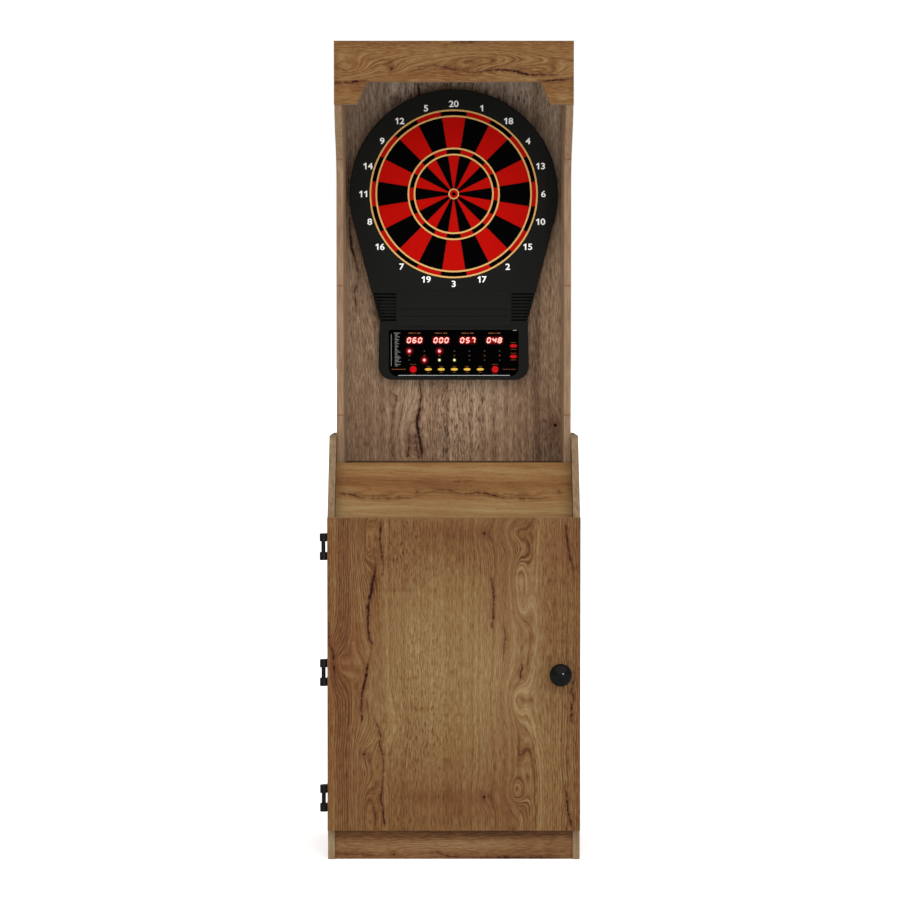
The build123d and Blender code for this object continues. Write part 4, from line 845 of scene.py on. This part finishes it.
def dress_boards():
    """Every board has its own grain, so no two repeat."""
    boards = {
        "door_panel": Wood(
            "oak_door", X, Z, 1.0, cracks=DOOR_CRACKS, eyes=DOOR_EYES, knots=DOOR_KNOTS,
            shading=DOOR_SHADING, figure=DOOR_FIGURE, figure_all=0.14, rough_grain=DOOR_ROUGH,
            reds=DOOR_REDS, sway=0.02, fibre_gain=0.95, tint=(0.88, 0.90, 0.86),
        ),
        "hood_fascia": Wood(
            "oak_hood", Z, X, 2.0, cracks=HOOD_CRACKS, eyes=HOOD_EYES, knots=HOOD_KNOTS,
            shading=HOOD_TONE_AND_EDGE_SHADE, figure=HOOD_FIGURE, fibre_gain=0.95, tint=(1.01, 1.01, 0.94),
        ),
        "apron_panel": Wood(
            "oak_apron", Z, X, 3.0, cracks=APRON_CRACKS, eyes=APRON_EYES, knots=APRON_KNOTS,
            shading=APRON_SHADING, reds=APRON_REDS, contrast=0.7, figure_all=0.12, fibre_along=10.0,
            tint=(1.24, 1.36, 1.34),
        ),
        "plinth_board": Wood(
            "oak_plinth", Z, X, 4.0, cracks=PLINTH_CRACKS, knots=PLINTH_KNOTS, contrast=0.8,
            shading=PLINTH_TONE_AND_DOOR_SHADOW, fibre_gain=0.95, tint=(1.01, 1.07, 1.16),
        ),
        "backboard": Wood(
            "oak_back", X, Z, 5.0, GREY_PALETTE, cracks=BACK_CRACKS, eyes=BACK_EYES, knots=BACK_KNOTS,
            shading=BACK_TONE_AND_PAINTED_LIGHT, rough_grain=BACK_ROUGH, figure_all=0.16,
            reds=BACK_REDS, cool=BACK_COOL, fibre_gain=1.05, fibre_along=42.0, sway=0.03,
        ),
        "base_side_left": Wood(
            "oak_base_left", Y, Z, 6.0, eyes=[(0.02, 0.55, 0.06, 0.25, 0.06)], edge_tint=BASE_EDGE_TINT
        ),
        "base_side_right": Wood(
            "oak_base_right", Y, Z, 7.0, eyes=[(0.05, 0.45, 0.06, 0.30, 0.06)], edge_tint=BASE_EDGE_TINT
        ),
        "upper_side_left": Wood(
            "oak_upper_left", Y, Z, 8.0, GREY_PALETTE, eyes=[(0.10, 1.55, 0.05, 0.22, 0.06)],
            edge_ticks=EDGE_TICKS, edge_tint=UPPER_EDGE_TINT, inner_tint=UPPER_INNER_PAINTED_LIGHT,
        ),
        "upper_side_right": Wood(
            "oak_upper_right", Y, Z, 9.0, GREY_PALETTE, eyes=[(0.08, 1.60, 0.05, 0.25, 0.06)],
            edge_ticks=EDGE_TICKS, edge_tint=UPPER_EDGE_TINT, inner_tint=UPPER_INNER_PAINTED_LIGHT,
        ),
        "base_bottom_panel": Wood("oak_bottom", Y, X, 10.0),
        "base_top_panel": Wood("oak_top", Y, X, 11.0),
        "base_back_panel": Wood("oak_rear", X, Z, 12.0, GREY_PALETTE),
        # Painted shade: the deck board is tinted almost black-brown to stand for the shaded strip between
        # the apron's top and the backboard.
        "deck_board": Wood("oak_deck_painted_shade", Y, X, 13.0, GREY_PALETTE, tint=(0.30, 0.25, 0.20)),
        "deck_rear_rail": Wood("oak_deck_rail", Z, X, 14.0),
        "adjustable_shelf": Wood("oak_shelf", Y, X, 15.0),
        "roof_panel": Wood("oak_roof", Y, X, 16.0),
        "wall_rail": Wood("oak_wall_rail", Z, X, 17.0),
    }
    for node, wood in boards.items():
        dress([node], oak(wood))
    dress(["fascia_dowels"], oak(Wood("beech_dowel", X, Y, 18.0, EDGE_PALETTE, edge=False)))


def dress_hardware():
    """Hinges, screws, knob, catch and bumpers."""
    powder = metal("black_powder_coat", srgb(13, 13, 13), 0.45, metallic=0.0, bump=0.2, specular=0.06)
    dress(["hinge_door_leaves", "hinge_cabinet_leaves", "hinge_pins"], powder)
    black_screw = metal("black_screw_finish", srgb(30, 30, 30), 0.35, metallic=0.6)
    hinge_screws = ["hinge_door_screws", "hinge_cabinet_screws"]
    board_screws = ["board_mounting_screws", "board_cover_screws"]
    dress(hinge_screws + board_screws, black_screw)
    zinc = metal("zinc_finish", srgb(176, 178, 180), 0.32, grain=(900.0, 900.0, 160.0))
    dress(["shelf_pins", "confirmat_screws", "knob_screw"], zinc)
    dress(["catch_strike_plate", "connector_bolts", "connector_nuts"], zinc)
    lacquer = moulded("knob_lacquer", srgb(14, 15, 14), 0.13, grain=300.0, bump=0.02, specular=0.05)
    dress(["door_knob"], lacquer)
    dress(["magnetic_catch"], moulded("catch_white", srgb(226, 224, 216), 0.45))
    dress(["door_bumpers"], moulded("bumper_clear", srgb(206, 206, 198), 0.3, bump=0.05))


def dress_dart_board():
    """Case, target, console and what lies inside."""
    case = moulded("case_black", srgb(22, 22, 20), 0.62, bump=0.25, specular=0.03)
    dress(["board_housing", "board_rear_cover"], case)
    dress(["target_spider"], moulded("spider_black", srgb(4, 4, 4), 0.5, specular=0.02))
    dress(["target_rings"], moulded("ring_gold", srgb(210, 163, 94), 0.45, specular=0.1))
    red = segment_plastic("segment_red", srgb(177, 9, 3), 0.012)
    dress(["singles_red", "multipliers_red", "bull_outer"], red)
    black = segment_plastic("segment_black", srgb(1, 1, 1), 0.006)
    dress(["singles_black", "multipliers_black", "bull_inner"], black)
    dress(["sensor_membrane"], moulded("membrane_film", srgb(170, 168, 150), 0.35, bump=0.03))
    dress(["foam_backing"], foam_material("backing_foam"))
    window = moulded("window_gloss", srgb(1, 1, 1), 0.12, grain=60.0, bump=0.01, specular=0.006)
    dress(["display_window"], window)
    dress(["score_displays"], moulded("display_body", srgb(60, 12, 10), 0.3, bump=0.03))
    lens = moulded("led_lens", srgb(190, 188, 178), 0.2, bump=0.02, coat=0.5)
    dress(["indicator_leds"], lens)
    dress(["control_board"], circuit_material("circuit_board"))
    dress(["speaker"], metal("speaker_steel", srgb(10, 10, 10), 0.6, metallic=0.0, specular=0.04))
    yellows = [node for node in NODES if node.startswith("button_oval_select")]
    reds = [node for node in NODES if node.startswith("button_") and node not in yellows]
    dress(reds, moulded("button_red", srgb(184, 2, 10), 0.30, bump=0.03, specular=0.035))
    dress(yellows, moulded("button_yellow", srgb(214, 172, 58), 0.34, bump=0.03, specular=0.10))


# ------------------------------------------------------------------ printed and lit details
def new_piece(name, mesh, material, body):
    """Links a mesh as a piece of the object and says what it rides on."""
    piece = bpy.data.objects.new(name, mesh)
    bpy.context.scene.collection.objects.link(piece)
    piece.data.materials.clear()
    piece.data.materials.append(material)
    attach(piece, body)
    return piece


def on_case(x, rise, proud):
    """Point on the board's front, from the bull, standing proud of the case."""
    return Vector((x, CASE_FRONT - proud, BULL.z + rise))


def slab(mesh, outline, proud, thickness):
    """Adds a thin prism with the given (x, rise) outline to a bmesh."""
    front = [mesh.verts.new(on_case(x, rise, proud)) for x, rise in outline]
    rear = [mesh.verts.new(on_case(x, rise, proud - thickness)) for x, rise in outline]
    mesh.faces.new(front)
    mesh.faces.new(list(reversed(rear)))
    count = len(outline)
    for i in range(count):
        j = (i + 1) % count
        mesh.faces.new((front[j], front[i], rear[i], rear[j]))


def finished(name, mesh, closed=True):
    """Turns a bmesh into mesh data, with outward normals where its shapes are closed."""
    if closed:
        bmesh.ops.recalc_face_normals(mesh, faces=mesh.faces)
    data = bpy.data.meshes.new(name)
    mesh.to_mesh(data)
    mesh.free()
    return data


def rounded_bar(x, rise, width, height, corner=0.4, sides=4):
    """Outline of a bar with rounded ends, centred at (x, rise)."""
    radius = min(width, height) * corner
    points = []
    for cx, cz, start in ((1, 1, 0), (-1, 1, 90), (-1, -1, 180), (1, -1, 270)):
        for step in range(sides + 1):
            angle = radians(start + 90 * step / sides)
            points.append(
                (
                    x + cx * (width / 2 - radius) + radius * cos(angle),
                    rise + cz * (height / 2 - radius) + radius * sin(angle),
                )
            )
    return points


def text_mesh(content, size, weight):
    """Flat mesh of a few digits, centred on the origin in its own xy plane."""
    curve = bpy.data.curves.new("digits", "FONT")
    curve.body = content
    curve.align_x = "CENTER"
    curve.align_y = "CENTER"
    curve.size = size
    curve.bevel_depth = weight
    curve.bevel_resolution = 1
    curve.extrude = 0.05 * MM
    carrier = bpy.data.objects.new("digits", curve)
    bpy.context.scene.collection.objects.link(carrier)
    graph = bpy.context.evaluated_depsgraph_get()
    mesh = bpy.data.meshes.new_from_object(carrier.evaluated_get(graph))
    bpy.data.objects.remove(carrier)
    bpy.data.curves.remove(curve)
    low = Vector((min(v.co.x for v in mesh.vertices), min(v.co.y for v in mesh.vertices), 0))
    high = Vector((max(v.co.x for v in mesh.vertices), max(v.co.y for v in mesh.vertices), 0))
    mesh.transform(Matrix.Translation(-(low + high) / 2))
    return mesh


DIGIT_STRETCH = 1.14


def stand_text(target, content, size, weight, x, rise, proud=0.1 * MM):
    """Adds digits to a bmesh, upright on the board's front."""
    mesh = text_mesh(content, size, weight)
    mesh.transform(Matrix.Scale(DIGIT_STRETCH, 4, (1, 0, 0)))
    mesh.transform(Matrix.Translation(on_case(x, rise, proud)) @ Matrix.Rotation(pi / 2, 4, "X"))
    target.from_mesh(mesh)
    bpy.data.meshes.remove(mesh)


SECTOR_NUMBERS = (20, 1, 18, 4, 13, 6, 10, 15, 2, 17, 3, 19, 7, 16, 8, 11, 14, 9, 12, 5)
NUMBER_RADIUS = 0.2400
NUMBER_SIZE = 0.0232
NUMBER_HEIGHT = 0.0168
NUMBER_PITCH = 0.0132
NUMBER_WEIGHT = 0.45 * MM
NUMBER_PROUD = 0.6 * MM
# Sideways shift in millimetres that centres each number in its gap beside the rings
NUMBER_SHIFT = {
    12: -3.6, 18: 5.0, 4: 4.4, 13: 3.8, 10: 3.8, 15: 3.8, 2: 3.6, 17: 1.2, 1: 1.4,
    16: -3.6, 9: 3.0, 8: 3.6, 7: 1.8, 14: -1.4, 11: -1.0,
}
# Outline of a figure one with a flag, in heights of the figure, centred
ONE = ((0.18, -0.5), (0.18, 0.5), (0.01, 0.5), (-0.32, 0.24), (-0.21, 0.11), (-0.03, 0.25), (-0.03, -0.5))


def make_numbers():
    """The twenty upright sector numbers around the target, set digit by digit."""
    mesh = bmesh.new()
    for index, number in enumerate(SECTOR_NUMBERS):
        angle = radians(90 - 18 * index)
        middle = NUMBER_RADIUS * cos(angle) + NUMBER_SHIFT.get(number, 0.0) * MM
        rise = NUMBER_RADIUS * sin(angle)
        figures = str(number)
        for place, figure in enumerate(figures):
            x = middle + (place - (len(figures) - 1) / 2) * NUMBER_PITCH
            if figure == "1":
                outline = [(x + i * NUMBER_HEIGHT, rise + j * NUMBER_HEIGHT) for i, j in ONE]
                slab(mesh, outline, NUMBER_PROUD, NUMBER_PROUD)
            else:
                stand_text(mesh, figure, NUMBER_SIZE, NUMBER_WEIGHT, x, rise)
    ink = moulded("number_ink", srgb(250, 250, 248), 0.5, bump=0.05, specular=0.1)
    new_piece("sector_numbers", finished("sector_numbers", mesh), ink, "cabinet")


# Which of a seven-segment digit's bars are lit, in the order top, upper left, upper right,
# middle, lower left, lower right, bottom
SEGMENTS_LIT = {
    "0": "1110111",
    "4": "0111010",
    "5": "1101011",
    "6": "1101111",
    "7": "1010010",
    "8": "1111111",
}
SCORES = ("060", "000", "057", "048")
DIGIT_WIDTH = 0.0108
DIGIT_HEIGHT = 0.0150
DIGIT_PITCH = 0.0147
DIGIT_BAR = 0.0028
BAR_GAP = 0.00045
DIGIT_SLANT = 0.16


def digit_bars(symbol, rim):
    """Bar outlines of one digit, centred on the origin, slanted, and grown by rim all round."""
    w, h, t = DIGIT_WIDTH / 2, DIGIT_HEIGHT / 2, DIGIT_BAR / 2
    thick = t + rim
    reach_x = w - t - BAR_GAP + rim
    reach_z = h - t - BAR_GAP + rim
    low_z = BAR_GAP - rim
    inner_x, top, bottom = reach_x - t, reach_z - t, low_z + t
    flat = [(-reach_x, 0), (-inner_x, thick), (inner_x, thick)]
    flat += [(-x, -y) for x, y in flat]
    tall = [(0, reach_z), (thick, top), (thick, bottom), (0, low_z), (-thick, bottom), (-thick, top)]
    bars = [
        [(x, y + h - t) for x, y in flat],
        [(x - w + t, y) for x, y in tall],
        [(x + w - t, y) for x, y in tall],
        flat,
        [(x - w + t, -y) for x, y in tall],
        [(x + w - t, -y) for x, y in tall],
        [(x, y - h + t) for x, y in flat],
    ]
    lit = SEGMENTS_LIT[symbol]
    return [[(x + DIGIT_SLANT * y, y) for x, y in bar] for bar, on in zip(bars, lit) if on == "1"]


DISC_SIDES = 32


def disc(mesh, layer, x, rise, radius, proud):
    """Adds a flat disc, mapped in units of its radius, to a bmesh."""
    centre = mesh.verts.new(on_case(x, rise, proud))
    rim = []
    for i in range(DISC_SIDES):
        angle = 2 * pi * i / DISC_SIDES
        point = on_case(x + radius * cos(angle), rise + radius * sin(angle), proud)
        rim.append((mesh.verts.new(point), (cos(angle), sin(angle))))
    for i in range(DISC_SIDES):
        (a, map_a), (b, map_b) = rim[i], rim[(i + 1) % DISC_SIDES]
        face = mesh.faces.new((centre, a, b))
        for loop, place in zip(face.loops, ((0.0, 0.0), map_a, map_b)):
            loop[layer].uv = place


def glow_panel(mesh, layer, x, rise, half_width, half_height, reach, proud):
    """Adds a flat rectangle, mapped in units of reach from its middle, to a bmesh."""
    signs = ((-1, -1), (1, -1), (1, 1), (-1, 1))
    points = [on_case(x + i * half_width, rise + j * half_height, proud) for i, j in signs]
    face = mesh.faces.new([mesh.verts.new(point) for point in points])
    for loop, (i, j) in zip(face.loops, signs):
        loop[layer].uv = (i * half_width / reach, j * half_height / reach)


DISPLAY_WIDTH = 0.054
LED_RADIUS = 0.0023


def display_columns():
    """Middles of the four score displays, and how far they are above the bull, from their CAD solids."""
    low, high = corner_pair("score_displays")
    step = (high.x - low.x - DISPLAY_WIDTH) / 3
    columns = [low.x + DISPLAY_WIDTH / 2 + step * i for i in range(4)]
    return columns, (low.z + high.z) / 2 - BULL.z


def led_grid():
    """Columns and rows of the indicator LEDs."""
    low, high = corner_pair("indicator_leds")
    step = (high.x - low.x - 2 * LED_RADIUS) / 6
    columns = [low.x + LED_RADIUS + step * i for i in range(7)]
    rows = (high.z - LED_RADIUS - BULL.z, low.z + LED_RADIUS - BULL.z)
    return columns, rows


DIGIT_RIM = 0.0010
GLOW_REACH = 0.0090
GLOW_CORE = (0.0175, 0.0040)


def make_displays():
    """Lit digits, each bar with a red rim, and a soft red glow behind them."""
    columns, rise = display_columns()
    digits = bmesh.new()
    rims = bmesh.new()
    glow = bmesh.new()
    layer = glow.loops.layers.uv.new("map")
    half_width, half_height = (half + GLOW_REACH for half in GLOW_CORE)
    for column, score in zip(columns, SCORES):
        glow_panel(glow, layer, column, rise, half_width, half_height, GLOW_REACH, 0.03 * MM)
        for index, symbol in enumerate(score):
            x0 = column + (index - 1) * DIGIT_PITCH
            for bar in digit_bars(symbol, DIGIT_RIM):
                slab(rims, [(x0 + x, rise + z) for x, z in bar], 0.15 * MM, 0.10 * MM)
            for bar in digit_bars(symbol, 0.0):
                slab(digits, [(x0 + x, rise + z) for x, z in bar], 0.25 * MM, 0.08 * MM)
    lit = glowing("digit_lit", (1.0, 0.50, 0.42, 1.0), 1.5)
    new_piece("score_digits", finished("score_digits", digits), lit, "cabinet")
    rim = glowing("digit_rim", (0.62, 0.012, 0.010, 1.0), 1.0)
    new_piece("digit_rims", finished("digit_rims", rims), rim, "cabinet")
    core = tuple(half / GLOW_REACH for half in GLOW_CORE)
    shine = halo("digit_halo", (0.32, 0.004, 0.002, 1.0), 1.0, 2.0, core)
    new_piece("digit_glow", finished("digit_glow", glow, closed=False), shine, "cabinet")


# Column and row of each lit LED
LIT_LEDS = {(0, 0): "red", (2, 0): "red", (1, 1): "red", (2, 1): "green", (3, 1): "green"}
LED_REACH = {"red": 0.0140, "green": 0.0080}
LED_CORE = {"red": 0.0072, "green": 0.0060}
LED_GLOW = {"red": (0.95, 0.01, 0.02, 1.0), "green": (0.30, 0.26, 0.04, 1.0)}
LED_LIGHT = {"red": (1.0, 0.42, 0.42, 1.0), "green": (0.86, 0.86, 0.45, 1.0)}
DARK_LED = 0.0030


def make_leds():
    """Lit and dark indicator lights in the two rows on the window."""
    columns, rows = led_grid()
    dark = bmesh.new()
    cores = {colour: bmesh.new() for colour in LED_REACH}
    glows = {colour: bmesh.new() for colour in LED_REACH}
    layers = {colour: mesh.loops.layers.uv.new("map") for colour, mesh in glows.items()}
    for i, x in enumerate(columns):
        for j, rise in enumerate(rows):
            colour = LIT_LEDS.get((i, j))
            if colour is None:
                slab(dark, rounded_bar(x, rise, DARK_LED, DARK_LED, 0.5, 5), 0.12 * MM, 0.1 * MM)
                continue
            disc(glows[colour], layers[colour], x, rise, LED_REACH[colour], 0.05 * MM + j * 0.02 * MM)
            size = LED_CORE[colour]
            slab(cores[colour], rounded_bar(x, rise, size, size, 0.5, 6), 0.2 * MM, 0.1 * MM)
    off = moulded("led_off", srgb(78, 68, 64), 0.3, bump=0.02, specular=0.1)
    new_piece("dark_leds", finished("dark_leds", dark), off, "cabinet")
    for colour in LED_REACH:
        name = f"{colour}_led"
        light = glowing(f"{name}_core", LED_LIGHT[colour], 1.2)
        new_piece(name, finished(name, cores[colour]), light, "cabinet")
        shine = halo(f"{name}_halo", LED_GLOW[colour], 1.6, 2.9)
        panels = finished(f"{name}_glow", glows[colour], closed=False)
        new_piece(f"{name}_glow", panels, shine, "cabinet")


PRINT_PROUD = 0.08 * MM
PRINT_THICK = 0.06 * MM
# Sideways shift and width of the three bars that head each score display
HEADING_BARS = ((-0.0100, 0.013), (0.0005, 0.004), (0.0110, 0.010))
HEADING_RISE = 0.0190
HEADING_HEIGHT = 0.0024
TARGET_LABELS = ("20", "19", "18", "17", "16", "15")
LABEL_SIZE = 0.0052
CAPTION_GAP = 0.0026
LIST_LEFT = -0.1580
LIST_TOP = 0.0165
LIST_PITCH = 0.0037
LIST_ROWS = 24


def print_bar(mesh, x, rise, width, height):
    """Adds one printed bar, centred at (x, rise), to a bmesh."""
    slab(mesh, rounded_bar(x, rise, width, height), PRINT_PROUD, PRINT_THICK)


def make_print():
    """Generic marks printed on the window: bars in place of words, and plain numbers."""
    random.seed(7)
    orange = bmesh.new()
    grey = bmesh.new()
    columns, rise = display_columns()
    for column in columns:
        for shift, width in HEADING_BARS:
            print_bar(orange, column + shift, rise + HEADING_RISE, width, HEADING_HEIGHT)
    led_columns, rows = led_grid()
    middle = sum(rows) / 2
    for x, label in zip(led_columns, TARGET_LABELS):
        stand_text(orange, label, LABEL_SIZE, 0.05 * MM, x, middle, PRINT_PROUD)
    print_bar(orange, led_columns[6], middle, 0.003, 0.004)

    # A short caption above and below each button
    for name in NODES:
        if not name.startswith("button_"):
            continue
        low, high = corner_pair(name)
        x = (low.x + high.x) / 2
        half = (high.z - low.z) / 2
        centre = (low.z + high.z) / 2 - BULL.z
        width = 0.010 if "select" in name else 0.016
        for side in (-1, 1):
            print_bar(orange, x, centre + side * (half + CAPTION_GAP), width, 0.0010)

    # A list of lines at the left, with its rule and heading, and a line in each lower corner
    for k in range(LIST_ROWS):
        width = random.uniform(0.006, 0.017)
        print_bar(grey, LIST_LEFT + width / 2, rise + LIST_TOP - k * LIST_PITCH, width, 0.0017)
    print_bar(grey, -0.1672, rise - 0.026, 0.0018, 0.086)
    print_bar(grey, -0.1520, rise + 0.0195, 0.017, 0.0016)
    corner_rise = WINDOW_LOW.z - BULL.z + 0.0190
    print_bar(orange, -0.1475, corner_rise, 0.038, 0.0016)
    print_bar(orange, 0.1490, corner_rise, 0.036, 0.0010)

    ink = moulded("print_orange", srgb(120, 68, 30), 0.5, specular=0.05)
    new_piece("window_print_orange", finished("window_print_orange", orange), ink, "cabinet")
    ink = moulded("print_grey", srgb(112, 112, 110), 0.5, specular=0.05)
    new_piece("window_print_grey", finished("window_print_grey", grey), ink, "cabinet")


def make_window_trim():
    """Painted highlights: a light grey strip along the window's lower edge for the light its bevel catches,
    and a short painted glint at its upper corner.
    """
    mesh = bmesh.new()
    bevel = rounded_bar(0.001, WINDOW_LOW.z - BULL.z + 0.0027, 0.300, 0.0011)
    glint = rounded_bar(WINDOW_HIGH.x - 0.010, WINDOW_HIGH.z - BULL.z - 0.0012, 0.010, 0.0010)
    for outline in (bevel, glint):
        slab(mesh, outline, 0.5 * MM, 0.45 * MM)
    # Plain light grey that stands in for the reflections.
    highlight_paint = metal("painted_highlight_grey", srgb(186, 189, 192), 0.3, metallic=0.0, grain=(40.0, 900.0, 900.0))
    new_piece("window_painted_highlights", finished("window_painted_highlights", mesh), highlight_paint, "cabinet")


# ------------------------------------------------------------------ floor, light and camera
FLOOR_REACH = 300.0


def plain_floor():
    """White studio floor with a very faint mottle."""
    mesh = bmesh.new()
    corners = [(i * FLOOR_REACH, j * FLOOR_REACH, 0.0) for i, j in ((-1, -1), (1, -1), (1, 1), (-1, 1))]
    mesh.faces.new([mesh.verts.new(corner) for corner in corners])
    floor = bpy.data.objects.new("studio_floor", finished("studio_floor", mesh))
    bpy.context.scene.collection.objects.link(floor)
    g = Graph("floor_white")
    mottle = g.noise(g.vector(*g.object_axes()), 2.0, 2.0)
    shade = g.mix(mottle, (0.93, 0.93, 0.93, 1.0), (0.96, 0.96, 0.96, 1.0))
    shader = g.surface(shade, 0.9, specular=0.0)
    g.feed(shader.inputs["Emission Color"], shade)
    shader.inputs["Emission Strength"].default_value = 0.35
    floor.data.materials.append(g.material)


def gloss_light(name, place, aim, size, power):
    """Small lamp that shows only as a highlight in gloss."""
    data = bpy.data.lights.new(name, "AREA")
    data.shape = "RECTANGLE"
    data.size, data.size_y = size
    data.energy = power
    lamp = bpy.data.objects.new(name, data)
    bpy.context.scene.collection.objects.link(lamp)
    lamp.location = place
    lamp.rotation_euler = (Vector(aim) - Vector(place)).to_track_quat("-Z", "Y").to_euler()
    lamp.visible_diffuse = False


WHITE = (1.0, 1.0, 1.0, 1.0)
SURROUND_STRENGTH = 0.55
SKY_ENERGY = 2.6
SKY_SPREAD = 80
SKY_TILT = (47, 5)
GLINT_PLACE = (1.08, -3.10, 0.76)
GLINT_AIM = (0.28, -0.18, 0.48)
GLINT_SIZE = (0.18, 0.28)
GLINT_ENERGY = 70.0


def studio():
    """White backdrop, even soft surroundings, a very soft high light, and a small glint for the knob."""
    world = bpy.data.worlds.new("studio")
    bpy.context.scene.world = world
    world.use_nodes = True
    tree = world.node_tree
    around = tree.nodes["Background"]
    around.inputs[0].default_value = WHITE
    around.inputs[1].default_value = SURROUND_STRENGTH
    backdrop = tree.nodes.new("ShaderNodeBackground")
    backdrop.inputs[0].default_value = WHITE
    backdrop.inputs[1].default_value = 1.0
    choice = tree.nodes.new("ShaderNodeMixShader")
    seen = tree.nodes.new("ShaderNodeLightPath")
    tree.links.new(seen.outputs["Is Camera Ray"], choice.inputs[0])
    tree.links.new(around.outputs[0], choice.inputs[1])
    tree.links.new(backdrop.outputs[0], choice.inputs[2])
    tree.links.new(choice.outputs[0], tree.nodes["World Output"].inputs[0])
    sky = bpy.data.lights.new("soft_sky", "SUN")
    sky.energy = SKY_ENERGY
    sky.angle = radians(SKY_SPREAD)
    lamp = bpy.data.objects.new("soft_sky", sky)
    bpy.context.scene.collection.objects.link(lamp)
    lamp.rotation_euler = (radians(SKY_TILT[0]), radians(SKY_TILT[1]), 0)
    gloss_light("glint", GLINT_PLACE, GLINT_AIM, GLINT_SIZE, GLINT_ENERGY)
    bpy.context.scene.view_settings.view_transform = "Standard"


CAMERA_DISTANCE = 6.5
CAMERA_HEIGHT = 1.3086
CAMERA_LENS = 101.66
CAMERA_SIDE = -0.0099
CAMERA_DOWN = 2.2


def camera():
    """Long lens, level with the middle of the cabinet and tilted slightly down."""
    data = bpy.data.cameras.new("camera")
    data.lens = CAMERA_LENS
    data.sensor_width = 36.0
    data.clip_end = 200.0
    view = bpy.data.objects.new("camera", data)
    bpy.context.scene.collection.objects.link(view)
    view.location = (CAMERA_SIDE, DOOR_LOW.y - CAMERA_DISTANCE, CAMERA_HEIGHT)
    view.rotation_euler = (radians(90 - CAMERA_DOWN), 0, 0)
    bpy.context.scene.camera = view


camera()
studio()
plain_floor()
dress_boards()
dress_hardware()
dress_dart_board()
make_numbers()
make_displays()
make_leds()
make_print()
make_window_trim()
